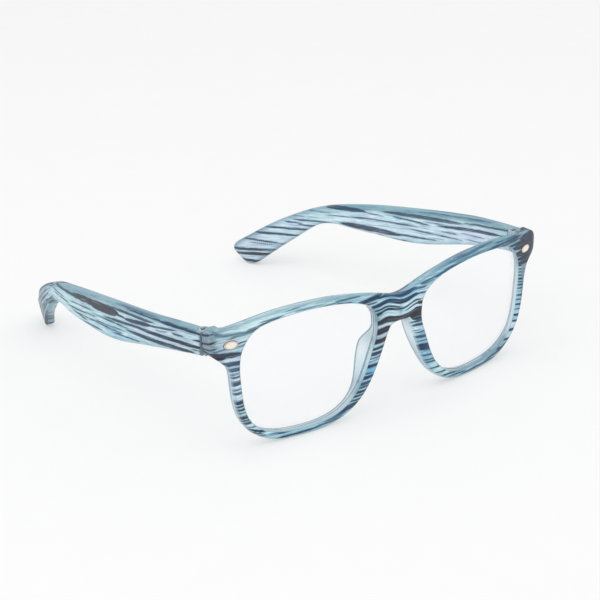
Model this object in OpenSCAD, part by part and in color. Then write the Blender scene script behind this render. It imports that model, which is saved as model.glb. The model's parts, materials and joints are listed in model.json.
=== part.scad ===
/* [Front] */
// Width of each lens opening
lens_w = 49.6; // [46:0.2:53]
// Height of each lens opening
lens_h = 40.2; // [36:0.2:43]
// Distance between the two lens openings
bridge_w = 18.4; // [17:0.2:21]
// Height of the bridge at its middle
bridge_h = 9.6; // [8:0.2:11]
// Height of the bridge's underside above the middle of the lens openings
bridge_z = 7; // [5.5:0.1:8]
// Radius of the curve of the front, seen from above
front_r = 284; // [240:2:340]
// Depth of the rims from front to back
rim_depth = 4; // [3.6:0.1:4.6]
// Width of the rims above the openings
rim_top = 2.3; // [1.8:0.1:3]
// Width of the rims below the openings
rim_low = 2.5; // [2.1:0.1:3.2]
// Width of the rims at the temples' side
rim_side = 3.5; // [3.2:0.1:4.4]
// Width of the rims beside the nose
rim_nose = 4.5; // [3.9:0.1:4.9]
// Radius that rounds the front outer edge
edge_front = 0.8; // [0.5:0.1:1]
// Radius that rounds the rear outer edge
edge_rear = 1.2; // [0.6:0.1:1.3]
// Radius that rounds the edges of the openings
edge_lens = 0.35; // [0.2:0.05:0.5]
// Swell of the front face between its edges
crown = 0.12; // [0.05:0.01:0.2]
// How far the openings widen towards the back at the temples' side
flare_side = 0.8; // [0.2:0.1:1]
// How far the outer wall at the temples' side leans in towards the back
draft_side = 0.7; // [0.3:0.1:1.4]
// How far the top of the rims leans in towards the back
draft_top = 0.9; // [0.5:0.1:1]
// How far the outer edge at the temples' side stands forward of the front's curve
side_turn = 0.7; // [0:0.1:0.8]

/* [Nose pads] */
// How far the pads stand behind the rims
pad_reach = 4.3; // [3:0.1:5]
// How far the pads spread towards the lenses
pad_splay = 1.7; // [1:0.1:2]
// Height at which the pads start, above the middle of the openings
pad_top = 8; // [6:0.5:9]
// Height of the pads' furthest point
pad_peak = 0; // [-3:0.5:1]
// Height at which the pads have run out into the rims
pad_end = -17; // [-18:0.5:-14]

/* [End pieces] */
// How far the end pieces stand out beyond the openings
end_reach = 9.7; // [9:0.1:11]
// Height of the end pieces
end_h = 8.6; // [8:0.1:9.6]
// Height of the middle of the end pieces above the middle of the openings
end_z = 14.8; // [14:0.1:15.6]
// Depth from the front's foremost line to the faces where the temples butt
joint_y = 13; // [12.6:0.1:14]
// Running gap between an end piece and its temple
joint_gap = 0.15; // [0.1:0.01:0.2]

/* [Lenses] */
// Thickness of the lenses at their edge
lens_t = 1.9; // [1.7:0.1:2.2]
// Swell of the lenses at their middle beyond the curve of the front
lens_dome = 0.8; // [0.4:0.1:1.4]
// Depth of the groove that holds a lens
groove_d = 0.8; // [0.5:0.1:0.9]
// Width of the groove at its mouth
groove_w = 1.4; // [1.1:0.1:1.6]
// Depth of the lip of the rim before the groove
groove_lip = 1.3; // [1.1:0.1:1.5]
// Clearance round a lens
lens_clear = 0.05; // [0.03:0.01:0.08]

/* [Temples] */
// Length of the temples from the joint to the tip, along the head
temple_l = 131.7; // [120:0.5:140]
// How far the straight part lies outside the hinge line
temple_bow = 1.4; // [0:0.1:2]
// Thickness of the temples at the hinge
temple_root = 4.7; // [4.5:0.1:5]
// Thickness of the temples along the head
temple_t = 3.7; // [3:0.1:4]
// Height of the temples at the hinge
temple_h = 7.9; // [7.6:0.1:8.6]
// Height of the broad middle of the temples
temple_broad = 12.8; // [10:0.1:13.4]
// Height of the slim part in front of the ear
temple_slim = 6.4; // [6:0.1:9]
// Height of the tips behind the ear
tip_h = 11.7; // [9:0.1:13]
// How far the tips drop below the slim part
tip_drop = 23.2; // [15:0.1:26]
// How far the tips turn in towards the head
tip_in = 13; // [8:0.1:15]
// How much longer the tip's upper edge is than its lower edge
tip_skew = 4.4; // [1:0.1:5.5]
// Radius of the corners at a tip's end
tip_r = 3; // [2:0.1:4]
// Radius of the long edges of the temples
temple_edge = 0.9; // [0.7:0.1:1.3]

/* [Hinges] */
// Radius of the knuckles
knuckle_r = 1.9; // [1.7:0.1:2]
// Height of the temple's knuckle
tongue_h = 2.6; // [2:0.1:3]
// Height of each of the front's two knuckles
ear_h = 2.4; // [2.1:0.1:2.6]
// Clearance above and below the temple's knuckle
tongue_clear = 0.1; // [0.08:0.01:0.15]
// Height of the middle of the hinge above the middle of the openings
hinge_z = 13.5; // [13.2:0.1:13.8]
// Thickness of the temple's wall that covers the hinge
hinge_skin = 1.15; // [1:0.05:1.3]
// Clearance between the knuckles and the pocket in the temple
knuckle_clear = 0.15; // [0.1:0.01:0.2]
// Radius of the screw
screw_r = 0.8; // [0.6:0.05:0.9]
// Radius of the screw's head
head_r = 1.25; // [1.1:0.05:1.35]
// Height of the screw's head
head_h = 0.9; // [0.6:0.1:1.1]
// Running clearance of the screw in the temple's knuckle
screw_run = 0.05; // [0.03:0.01:0.08]
// Clearance of the screw in the front's knuckles
screw_fit = 0.02; // [0.01:0.01:0.04]

/* [Plaques] */
// Length of the oval plaques
plaque_l = 4.8; // [4.4:0.1:6]
// Height of the oval plaques
plaque_h = 2.8; // [2.6:0.1:3.6]
// Thickness of the plaques
plaque_t = 1; // [0.8:0.1:1.2]
// How far the plaques stand out of their recess
plaque_proud = 0.45; // [0.3:0.05:0.6]
// Distance of the plaque's middle in from the end piece's side
plaque_in = 6.5; // [6:0.1:7]
// Radius of the pins behind a plaque
plaque_pin = 0.5; // [0.4:0.05:0.6]
// Clearance round a plaque and its pins
plaque_fit = 0.04; // [0.02:0.01:0.06]

/* [Hidden] */
$fn = 48;

// Height of the middle of the openings in the front's own frame
lens_z = -0.5;
// Stretches of the outline between two rows, and points along one side of a rounded section
steps = 3;
corner_steps = 3;
// Half sizes and middle of a lens opening, measured round the front's curve
half_w = lens_w / 2;
half_h = lens_h / 2;
mid_u = bridge_w / 2 + half_w;

// The outline of one rim, in rows from the bridge down the nose's side and round. A row holds a
// point of the opening's edge in shares of its half width and half height, and then the way to
// the outer edge in shares of the rim's width there.
NOSE_ROWS = [
    [-0.99, 0.33, -1.36, 0.00],
    [-0.975, 0.19, -1.18, 0.08],
    [-0.905, -0.03, -1.08, -0.20],
    [-0.815, -0.36, -1.08, 0.00],
    [-0.69, -0.655, -0.72, -0.52]
];
LOW_ROWS = [
    [-0.48, -0.89, -0.55, -1.05],
    [-0.18, -1.00, -0.20, -1.05],
    [0.21, -1.00, 0.25, -1.00],
    [0.55, -0.95, 0.50, -1.15]
];
SIDE_ROWS = [
    [0.845, -0.745, 0.88, -0.22],
    [0.95, -0.41, 1.07, 0.30],
    [0.98, -0.03, 1.07, 0.50],
    [1.00, 0.23, 1.07, 0.75]
];
TOP_ROWS = [
    [0.42, 0.955, 1.40, 1.42],
    [0.04, 0.985, 0.40, 1.17],
    [-0.33, 0.955, -0.50, 1.27],
    [-0.66, 0.885, -2.30, 0.98],
    [-0.885, 0.755, -3.25, 0.96]
];
// At the end piece the outer point is given as a way in from the end piece's side, in mm, and as
// a share of its half height
END_ROWS = [
    [0.99, 0.46, 0.2, -0.92],
    [0.94, 0.63, 0.2, -0.20],
    [0.84, 0.80, 0.0, 1.10],
    [0.71, 0.90, 6.6, 1.10]
];
BRIDGE_TOP = [-0.965, 0.595];
BRIDGE_MID = [-0.98, 0.53];
BRIDGE_LOW = [-0.985, 0.44];

end_u = mid_u + half_w + end_reach;

function opening(row) = [mid_u + row[0] * half_w, lens_z + row[1] * half_h];
function rim_row(row, width) = [opening(row), opening(row) + width * [row[2], row[3]]];
function end_row(row) = [opening(row), [end_u - row[2], lens_z + end_z + row[3] * end_h / 2]];

ROWS = concat(
    [[opening(BRIDGE_LOW), [0, lens_z + bridge_z]]],
    [for (row = NOSE_ROWS) rim_row(row, rim_nose)],
    [for (row = LOW_ROWS) rim_row(row, rim_low)],
    [for (row = SIDE_ROWS) rim_row(row, rim_side)],
    [for (row = END_ROWS) end_row(row)],
    [for (row = TOP_ROWS) rim_row(row, rim_top)],
    [[opening(BRIDGE_TOP), [0, lens_z + bridge_z + bridge_h]]],
    [[opening(BRIDGE_MID), [0, lens_z + bridge_z + bridge_h / 2]]]
);
// The last row whose outer point lies on the outline, before the cut through the bridge
top_row = len(ROWS) - 2;
stations = len(ROWS) * steps;
cut = top_row * steps;

function mix(a, b, s) = a + (b - a) * s;
function ease(s) = (1 - cos(180 * max(0, min(1, s)))) / 2;
function unit(v) = v / norm(v);
function flip(p) = [-p[0], p[1]];

// Cubic B-spline through four rows, and its slope
function spline(a, b, c, d, s) =
    (pow(1 - s, 3) * a + (3 * s * s * s - 6 * s * s + 4) * b
    + (-3 * s * s * s + 3 * s * s + 3 * s + 1) * c + s * s * s * d) / 6;
function slope(a, b, c, d, s) =
    (-pow(1 - s, 2) * a + (3 * s * s - 4 * s) * b + (-3 * s * s + 2 * s + 1) * c + s * s * d) / 2;
// The way out of the material on the left of a direction of travel turned by a quarter
function side_of(v) = unit([v[1], -v[0]]);

function inner_row(k) = ROWS[(k + len(ROWS)) % len(ROWS)][0];
// Beyond the bridge's middle line the outer rows repeat mirrored
function outer_row(k) = k < 0 ? flip(ROWS[-k][1]) :
    k > top_row ? flip(ROWS[2 * top_row - k][1]) : ROWS[k][1];

function inner_at(i) =
    let (k = floor(i / steps), s = i / steps - k)
    spline(inner_row(k - 1), inner_row(k), inner_row(k + 1), inner_row(k + 2), s);
function inner_way(i) =
    let (k = floor(i / steps), s = i / steps - k)
    side_of(slope(inner_row(k - 1), inner_row(k), inner_row(k + 1), inner_row(k + 2), s));
function outer_at(i) =
    let (k = floor(i / steps), s = i / steps - k)
    spline(outer_row(k - 1), outer_row(k), outer_row(k + 1), outer_row(k + 2), s);
function outer_way(i) =
    let (k = floor(i / steps), s = i / steps - k)
    side_of(slope(outer_row(k - 1), outer_row(k), outer_row(k + 1), outer_row(k + 2), s));

// A flat outline point laid on the front's curve, t behind its foremost surface
function curve_deg(u) = u / front_r * 180 / PI;
function curve_back(u) = front_r * (1 - cos(curve_deg(u)));
function on_front(p, t) = [front_r * sin(curve_deg(p[0])), curve_back(p[0]) + t, p[1]];

// How much of a nose pad, of the walls' lean and of an end piece there is at a station
function pad_at(inner) =
    let (z = inner[1] - lens_z)
    inner[0] > mid_u ? 0 :
    z > pad_peak ? 1 - ease((z - pad_peak) / (pad_top - pad_peak)) :
    1 - ease((pad_peak - z) / (pad_peak - pad_end));
function flare_at(n) = flare_side * pow(max(0, n[0]), 2);
function draft_at(w) = draft_side * pow(max(0, w[0]), 2) + draft_top * pow(max(0, w[1]), 2);
function end_at(outer) = ease((outer[0] - (mid_u + half_w + rim_side)) / (end_reach - rim_side - 1));

// The outline at the back of the moulding, and the radius there, both limited to a share of a
// narrow rim's width
draft_share = 0.4;
round_share = 0.3;
function rim_width(i) = norm(outer_at(i) - inner_at(i));
function rear_at(i) =
    let (b = outer_at(i), w = outer_way(i), drawn_in = min(draft_at(w), draft_share * rim_width(i)))
    b - w * (pad_at(inner_at(i)) * pad_splay + (1 - end_at(b)) * drawn_in);
function rear_r(i) = min(edge_rear, round_share * rim_width(i));

// Middle point of a rounded edge, as a share of its radius in from the corner
round_mid = 0.3;
// Section of the rim at a station of the outline: front edge of the opening, groove, rear edge,
// rear outer edge, front outer edge and the crowned front face
function rim_section(i) =
    let (
        a = inner_at(i),
        n = inner_way(i),
        b = outer_at(i),
        w = outer_way(i),
        pad = pad_at(a),
        end = end_at(b),
        turn = side_turn * pow(max(0, w[0]), 2) * (1 - end),
        rear_in = rim_depth + pad * pad_reach,
        rear_out = mix(rear_in - turn, joint_y - land_step - curve_back(b[0]), end),
        r = mix(rear_r(i), edge_lens, end),
        bs = rear_at(i),
        front_end = on_front(b - w * edge_front, -turn),
        front_start = on_front(a + n * edge_lens, 0)
    )
    [
        front_start,
        on_front(a, edge_lens),
        on_front(a, groove_lip),
        on_front(a + n * groove_d, groove_lip + groove_w / 2),
        on_front(a, groove_lip + groove_w),
        on_front(a + n * flare_at(n), rear_in - edge_lens),
        on_front(a + n * (edge_lens + flare_at(n)), rear_in),
        on_front(bs - w * r, rear_out),
        on_front(bs - w * r * round_mid, rear_out - r * round_mid),
        on_front(bs, rear_out - r),
        on_front(b, edge_front - turn),
        on_front(b - w * edge_front * round_mid, edge_front * round_mid - turn),
        front_end,
        (front_start + front_end) / 2 - [0, crown, 0]
    ];
// On the cut through the bridge the front and rear faces meet the middle line
function cut_section(i) =
    let (
        own = rim_section(i),
        upper = rim_section(cut),
        lower = rim_section(0),
        s = (i - cut) / (stations - cut),
        front_end = mix(upper[12], lower[12], s),
        rear_end = mix(upper[7], lower[7], s)
    )
    [for (j = [0:13]) j < 7 ? own[j] : j < 12 ? rear_end : j == 12 ? front_end :
        (own[0] + front_end) / 2 - [0, crown, 0]];

// Step between the end piece's shell and the flat land behind it
land_step = 0.3;
section_n = 14;
HALF = [for (i = [0:stations - 1]) for (p = i > cut ? cut_section(i) : rim_section(i)) p];
half_n = len(HALF);
FRONT_POINTS = concat(HALF, [for (p = HALF) [-p[0], p[1], p[2]]]);

function on_cut(i) = i >= cut || i == 0;
function shared(i, j) = on_cut(i) && j >= 7 && j <= 12;
function front_id(side, i, j) =
    let (ii = i % stations, jj = j % section_n)
    (shared(ii, jj) ? 0 : side * half_n) + ii * section_n + jj;
function quad(side, i, j) =
    let (
        a = front_id(side, i, j),
        b = front_id(side, i, j + 1),
        c = front_id(side, i + 1, j + 1),
        d = front_id(side, i + 1, j)
    )
    side == 0 ? [[a, b, c], [a, c, d]] : [[a, c, b], [a, d, c]];
FRONT_FACES = [
    for (side = [0, 1]) for (i = [0:stations - 1]) for (j = [0:section_n - 1])
        if (!(i >= cut && j >= 7 && j < 12)) each quad(side, i, j)
];

// A lens: bevelled edge in the groove, and rings that swell towards the middle
LENS_RINGS = [0.72, 0.4];
lens_mid = groove_lip + groove_w / 2;
bevel_w = groove_w - 4 * lens_clear;
function lens_edge(i) =
    let (a = inner_at(i), n = inner_way(i), e = a - n * lens_clear)
    [
        on_front(e, lens_mid - lens_t / 2),
        on_front(e, lens_mid - bevel_w / 2),
        on_front(a + n * (groove_d - 2 * lens_clear), lens_mid),
        on_front(e, lens_mid + bevel_w / 2),
        on_front(e, lens_mid + lens_t / 2)
    ];
function lens_ring(i, s, t) =
    on_front(mix([mid_u, lens_z], inner_at(i) - inner_way(i) * lens_clear, s), t - lens_dome * (1 - s * s));
function lens_section(i) = concat(
    [for (k = [len(LENS_RINGS) - 1:-1:0]) lens_ring(i, LENS_RINGS[k], lens_mid - lens_t / 2)],
    lens_edge(i),
    [for (s = LENS_RINGS) lens_ring(i, s, lens_mid + lens_t / 2)]
);
lens_n = 5 + 2 * len(LENS_RINGS);
LENS_POINTS = concat(
    [for (i = [0:stations - 1]) each lens_section(i)],
    [on_front([mid_u, lens_z], lens_mid - lens_t / 2 - lens_dome)],
    [on_front([mid_u, lens_z], lens_mid + lens_t / 2 - lens_dome)]
);
lens_last = stations * lens_n;
function lens_id(i, j) = (i % stations) * lens_n + j;
LENS_FACES = concat(
    [for (i = [0:stations - 1]) for (j = [0:lens_n - 2]) each [
        [lens_id(i, j), lens_id(i + 1, j + 1), lens_id(i, j + 1)],
        [lens_id(i, j), lens_id(i + 1, j), lens_id(i + 1, j + 1)]
    ]],
    [for (i = [0:stations - 1]) [lens_last, lens_id(i + 1, 0), lens_id(i, 0)]],
    [for (i = [0:stations - 1]) [lens_last + 1, lens_id(i, lens_n - 1), lens_id(i + 1, lens_n - 1)]]
);

// Where the joint's outer faces lie, and the hinge's axis
side_proud = 0.1;
pivot_back = 2.3;
side_x = front_r * sin(curve_deg(end_u)) + side_proud;
pivot_x = side_x - hinge_skin - knuckle_clear - knuckle_r;
pivot_y = joint_y + pivot_back;
pivot_z = lens_z + hinge_z;
hinge_h = tongue_h + 2 * tongue_clear + 2 * ear_h;
hinge_top = pivot_z + hinge_h / 2;
hinge_low = pivot_z - hinge_h / 2;

// A temple in rows along its length: share of the length, middle line's x and z in the front's
// frame, height, thickness and twist of the upper edge outwards
temple_y = joint_y + joint_gap;
root_x = side_x - temple_root / 2;
line_x = side_x - temple_t / 2;
root_z = 13.2;
broad_z = 2.4;
slim_z = -5.7;
slim_x = line_x - 7.2;
TEMPLE = [
    [0, root_x, root_z, temple_h, temple_root, 0],
    [0.1, mix(root_x, line_x, 0.6) + temple_bow * 0.7, 11.1, temple_h + 1.1, mix(temple_root, temple_t, 0.6), 0],
    [0.2, line_x + temple_bow, 8.5, mix(temple_h, temple_broad, 0.5), temple_t, 0],
    [0.4, line_x - 0.4, broad_z, temple_broad, temple_t, 0],
    [0.6, line_x - 3.3, -1.8, mix(temple_broad, temple_slim, 0.44), temple_t, 0],
    [0.75, slim_x, slim_z, temple_slim, temple_t, 0],
    [0.88, slim_x - tip_in * 0.4, slim_z - tip_drop * 0.45, mix(temple_slim, tip_h, 0.57), temple_t, 6],
    [1, slim_x - tip_in, slim_z - tip_drop, tip_h, temple_t, 11]
];
function row_slope(k) =
    let (a = TEMPLE[max(0, k - 1)], b = TEMPLE[min(len(TEMPLE) - 1, k + 1)])
    (b - a) / (b[0] - a[0]);
// Smooth curve through the rows at a share of the length, and its slope
function temple_seg(f) = min(len(TEMPLE) - 2, max([for (k = [0:len(TEMPLE) - 2]) TEMPLE[k][0] <= f ? k : 0]));
function temple_at(f) =
    let (k = temple_seg(f), a = TEMPLE[k], b = TEMPLE[k + 1], h = b[0] - a[0], s = (f - a[0]) / h)
    (2 * s * s * s - 3 * s * s + 1) * a + (s * s * s - 2 * s * s + s) * h * row_slope(k)
    + (3 * s * s - 2 * s * s * s) * b + (s * s * s - s * s) * h * row_slope(k + 1);
function temple_mid(f) = let (row = temple_at(f)) [row[1], temple_y + f * temple_l, row[2]];
// Way along the temple, square to the joint's face at the root
straight_share = 0.06;
function temple_dir(f) =
    let (d = 0.004, a = max(0, f - d), b = min(1, f + d))
    unit(mix([0, 1, 0], unit(temple_mid(b) - temple_mid(a)), ease(f / straight_share)));

// Rounded section of a temple with half sizes a and b, its long faces a little crowned
face_crown = 0.12;
function section(a, b, r) = concat(
    [for (k = [0:corner_steps]) let (t = 90 * k / corner_steps) [a - r + r * cos(t), b - r + r * sin(t)]],
    [for (k = [0:corner_steps]) let (t = 90 + 90 * k / corner_steps) [-a + r + r * cos(t), b - r + r * sin(t)]],
    [[-a - face_crown, 0]],
    [for (k = [0:corner_steps]) let (t = 180 + 90 * k / corner_steps) [-a + r + r * cos(t), -b + r + r * sin(t)]],
    [for (k = [0:corner_steps]) let (t = 270 + 90 * k / corner_steps) [a - r + r * cos(t), -b + r + r * sin(t)]],
    [[a + face_crown, 0]]
);
// Rounding of the tip's faces towards its end, and the share of the length at which the skew starts
tip_edge = 0.9;
skew_from = 0.85;
temple_n = 4 * (corner_steps + 1) + 2;
// One ring of a temple: share f of the length, and the turn round the end's rounded corner
function temple_ring(f, turn) =
    let (
        row = temple_at(f),
        dir = temple_dir(f),
        across = unit(cross(dir, [0, 0, 1])),
        rise = cross(across, dir),
        out = cos(row[5]) * across - sin(row[5]) * rise,
        up = cos(row[5]) * rise + sin(row[5]) * across,
        half_t = row[4] / 2 - tip_edge * (1 - cos(turn)),
        half = row[3] / 2 - tip_r * (1 - cos(turn)),
        r = min(temple_edge, half_t - 0.1),
        late = pow(max(0, (f - skew_from) / (1 - skew_from)), 2)
    )
    [for (q = section(half_t, half, r))
        temple_mid(f) + q[0] * out + q[1] * up + late * tip_skew * (0.5 + q[1] / row[3]) * dir];
TEMPLE_RINGS = 26;
END_TURNS = [25, 45, 65, 90];
tip_share = tip_r / temple_l;
TEMPLE_POINTS = concat(
    [for (k = [0:TEMPLE_RINGS]) each temple_ring((1 - tip_share) * k / TEMPLE_RINGS, 0)],
    [for (turn = END_TURNS) each temple_ring(1 - tip_share * (1 - sin(turn)), turn)]
);
ring_count = TEMPLE_RINGS + 1 + len(END_TURNS);
function temple_id(k, j) = k * temple_n + j % temple_n;
TEMPLE_FACES = concat(
    [for (k = [0:ring_count - 2]) for (j = [0:temple_n - 1]) each [
        [temple_id(k, j), temple_id(k + 1, j + 1), temple_id(k + 1, j)],
        [temple_id(k, j), temple_id(k, j + 1), temple_id(k + 1, j + 1)]
    ]],
    [[for (j = [temple_n - 1:-1:0]) j]],
    [[for (j = [0:temple_n - 1]) temple_id(ring_count - 1, j)]]
);

// The glasses stand on their rims and their tips: the angle at which both touch one floor
function low_side(points, a) = min([for (p = points) p[1] * sin(a) + p[2] * cos(a)]);
TIP_POINTS = [for (p = TEMPLE_POINTS) if (p[1] > temple_y + 0.8 * temple_l) p];
function find_lean(a, b, n) =
    let (m = (a + b) / 2)
    n == 0 ? m : low_side(HALF, m) < low_side(TIP_POINTS, m) ? find_lean(a, m, n - 1) : find_lean(m, b, n - 1);
lean = find_lean(0, 12, 24);
lift = -low_side(HALF, lean);
function world_y(p) = p[1] * cos(lean) - p[2] * sin(lean);
shift_y = -(min([for (p = HALF) world_y(p)]) + max([for (p = TIP_POINTS) world_y(p)])) / 2;

module place(side) {
    translate([0, shift_y, lift])
        rotate([lean, 0, 0])
            scale_side(side)
                children();
}

// The left side is drawn, and the right one is its mirror image
module scale_side(side) {
    if (side == "right")
        mirror([1, 0, 0]) children();
    else
        children();
}

// Flat land behind an end piece, along its outline, against which the temple butts
land_in = pivot_x - knuckle_r;
LAND = [
    for (i = [0:cut])
        let (p = on_front(rear_at(i) - outer_way(i) * land_step, 0))
        if (p[0] > land_in && p[2] > lens_z) [p[0], p[2]]
];
land_depth = 3.4;
module end_land() {
    translate([0, joint_y, 0])
        rotate([90, 0, 0])
            linear_extrude(height = land_depth)
                polygon(concat([[land_in, LAND[0][1]]], LAND, [[land_in, LAND[len(LAND) - 1][1]]]));
}

// A knuckle from height z up, reaching from the face at y to the hinge's axis, and how far its root
// is sunk into the body behind that face
knuckle_root = 0.6;
module knuckle(z, h, root_y) {
    translate([pivot_x, pivot_y, z])
        cylinder(r = knuckle_r, h = h);
    translate([pivot_x - knuckle_r, min(root_y, pivot_y), z])
        cube([2 * knuckle_r, abs(root_y - pivot_y), h]);
}

module screw_hole(z, h, r) {
    translate([pivot_x, pivot_y, z])
        cylinder(r = r, h = h);
}

// Frame of a plaque: x along it, y down, and z into the front
plaque_u = end_u - plaque_in;
plaque_low = 0.7;
plaque_z = lens_z + end_z - plaque_low;
module at_plaque() {
    translate(on_front([plaque_u, plaque_z], -crown - plaque_proud))
        rotate([0, 0, curve_deg(plaque_u)])
            rotate([-90, 0, 0])
                children();
}

module oval(l, h) {
    polygon([for (k = [0:35]) [l / 2 * cos(k * 10), h / 2 * sin(k * 10)]]);
}

// Recess of a plaque with the holes for its pins, which end short of the holes' bottom
pin_at = 1.2;
pin_l = 1.1;
pin_root = 0.1;
pin_short = 0.05;
module plaque_cut() {
    at_plaque() {
        linear_extrude(height = plaque_t)
            oval(plaque_l + 2 * plaque_fit, plaque_h + 2 * plaque_fit);
        for (x = [-pin_at, pin_at])
            translate([x, 0, plaque_t - pin_root])
                cylinder(r = plaque_pin + plaque_fit, h = pin_l + pin_root + pin_short);
    }
}

// The whole front is one moulding: bridge, rims with their grooves, nose pads and end pieces
module front_frame() {
    color([0.62, 0.80, 0.85])
        place("left")
            difference() {
                union() {
                    polyhedron(points = FRONT_POINTS, faces = FRONT_FACES, convexity = 8);
                    for (side = ["left", "right"])
                        scale_side(side) {
                            end_land();
                            knuckle(hinge_low, ear_h, joint_y - knuckle_root);
                            knuckle(hinge_top - ear_h, ear_h, joint_y - knuckle_root);
                        }
                }
                for (side = ["left", "right"])
                    scale_side(side) {
                        screw_hole(hinge_low - 1, hinge_h + 2, screw_r + screw_fit);
                        screw_hole(hinge_top - head_h, head_h + 1, head_r + screw_fit);
                        plaque_cut();
                    }
            }
}

module lens(side) {
    color([0.90, 0.96, 0.98])
        place(side)
            polyhedron(points = LENS_POINTS, faces = LENS_FACES, convexity = 4);
}

module right_lens() {
    lens("right");
}

module left_lens() {
    lens("left");
}

// Pocket that takes the front's knuckles, open to the front, the head's side, above and below; its
// blocks reach this far past the temple
past = 10;
pocket_r = knuckle_r + knuckle_clear;
pocket_back = pivot_y + pocket_r;
module hinge_pocket() {
    translate([pivot_x, pivot_y, pivot_z - 2 * past])
        cylinder(r = pocket_r, h = 4 * past);
    translate([pivot_x - past, joint_y - past, pivot_z - 2 * past])
        cube([past + pocket_r, pivot_y - joint_y + past, 4 * past]);
    translate([pivot_x - past, joint_y - past, pivot_z - 2 * past])
        cube([past, pocket_back - joint_y + past, 4 * past]);
}

module temple(side) {
    color([0.42, 0.60, 0.70])
        place(side)
            difference() {
                union() {
                    difference() {
                        polyhedron(points = TEMPLE_POINTS, faces = TEMPLE_FACES, convexity = 4);
                        hinge_pocket();
                    }
                    knuckle(pivot_z - tongue_h / 2, tongue_h, pocket_back + knuckle_root);
                }
                screw_hole(pivot_z - tongue_h, 2 * tongue_h, screw_r + screw_run);
            }
}

module right_temple() {
    temple("right");
}

module left_temple() {
    temple("left");
}

// Oval plaque with a bevelled face and two pins
plaque_bevel = 0.25;
bevel_share = 0.9;
module plaque(side) {
    color([0.86, 0.80, 0.68])
        place(side)
            at_plaque() {
                translate([0, 0, plaque_bevel])
                    linear_extrude(height = plaque_t - plaque_bevel)
                        oval(plaque_l, plaque_h);
                rotate([180, 0, 0])
                    translate([0, 0, -plaque_bevel])
                        linear_extrude(height = plaque_bevel, scale = bevel_share)
                            oval(plaque_l, plaque_h);
                for (x = [-pin_at, pin_at])
                    translate([x, 0, plaque_t - pin_root])
                        cylinder(r = plaque_pin, h = pin_l + pin_root);
            }
}

module right_plaque() {
    plaque("right");
}

module left_plaque() {
    plaque("left");
}

// Hinge screw with a slotted head, which lies a little below the upper knuckle's top
slot_w = 0.5;
slot_d = 0.4;
head_sunk = 0.1;
screw_short = 0.2;
module hinge_screw(side) {
    color([0.35, 0.36, 0.38])
        place(side)
            difference() {
                union() {
                    translate([pivot_x, pivot_y, hinge_low + screw_short])
                        cylinder(r = screw_r, h = hinge_h - screw_short - head_sunk);
                    translate([pivot_x, pivot_y, hinge_top - head_h])
                        cylinder(r = head_r, h = head_h - head_sunk);
                }
                translate([pivot_x - head_r - 1, pivot_y - slot_w / 2, hinge_top - head_sunk - slot_d])
                    cube([2 * head_r + 2, slot_w, slot_d + 1]);
            }
}

module right_hinge_screw() {
    hinge_screw("right");
}

module left_hinge_screw() {
    hinge_screw("left");
}

front_frame();
right_lens();
left_lens();
right_temple();
left_temple();
right_plaque();
left_plaque();
right_hinge_screw();
left_hinge_screw();
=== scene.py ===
import json
import math

import bmesh
import bpy
import numpy as np
from mathutils import Matrix


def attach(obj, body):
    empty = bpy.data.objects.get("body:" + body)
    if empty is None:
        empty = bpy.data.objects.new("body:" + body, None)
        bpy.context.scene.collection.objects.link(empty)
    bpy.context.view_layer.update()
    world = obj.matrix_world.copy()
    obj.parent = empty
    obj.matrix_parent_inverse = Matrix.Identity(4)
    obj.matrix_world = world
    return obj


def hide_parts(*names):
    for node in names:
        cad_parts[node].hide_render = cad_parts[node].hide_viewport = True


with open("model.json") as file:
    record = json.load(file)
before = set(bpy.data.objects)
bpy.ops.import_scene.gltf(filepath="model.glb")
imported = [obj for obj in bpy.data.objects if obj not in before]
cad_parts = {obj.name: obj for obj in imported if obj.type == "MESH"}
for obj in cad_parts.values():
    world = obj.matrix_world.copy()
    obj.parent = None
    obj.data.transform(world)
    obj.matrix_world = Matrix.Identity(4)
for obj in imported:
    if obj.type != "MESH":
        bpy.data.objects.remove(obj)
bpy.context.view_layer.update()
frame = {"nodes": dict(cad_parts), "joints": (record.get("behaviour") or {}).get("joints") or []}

# Front: bridge, two rims, nose pads and end pieces
# One injection moulding of translucent pale blue plastic, with a V groove round each opening that
# the lens snaps into. A film printed like wood grain covers its face and wraps the end pieces.
half_w, half_h, nose_half = 24.8, 20.1, 9.2
mid_u, lens_z = nose_half + half_w, -0.5
end_u, end_mid, end_half = mid_u + half_w + 9.7, 14.8, 4.3
end_from, end_run = mid_u + half_w + 3.5, 5.2
nose_w, low_w, side_w, top_w = 4.5, 2.5, 3.5, 2.3
front_r, rim_depth, front_crown, crown_run = 284.0, 4.0, 0.2, 2.0
groove_lip, groove_w, groove_d = 1.3, 1.4, 0.8
edge_front, edge_rear, edge_lens = 0.8, 1.2, 0.35
joint_y, land_step = 13.0, 0.3
bridge_low, bridge_top = 7.0, 16.6
pad_above, pad_below, pad_narrow, pad_deep = 8.0, 17.0, 1.7, 4.3
side_turn, side_draft, top_draft, rear_flare = 0.7, 0.7, 0.9, 0.8

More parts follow.
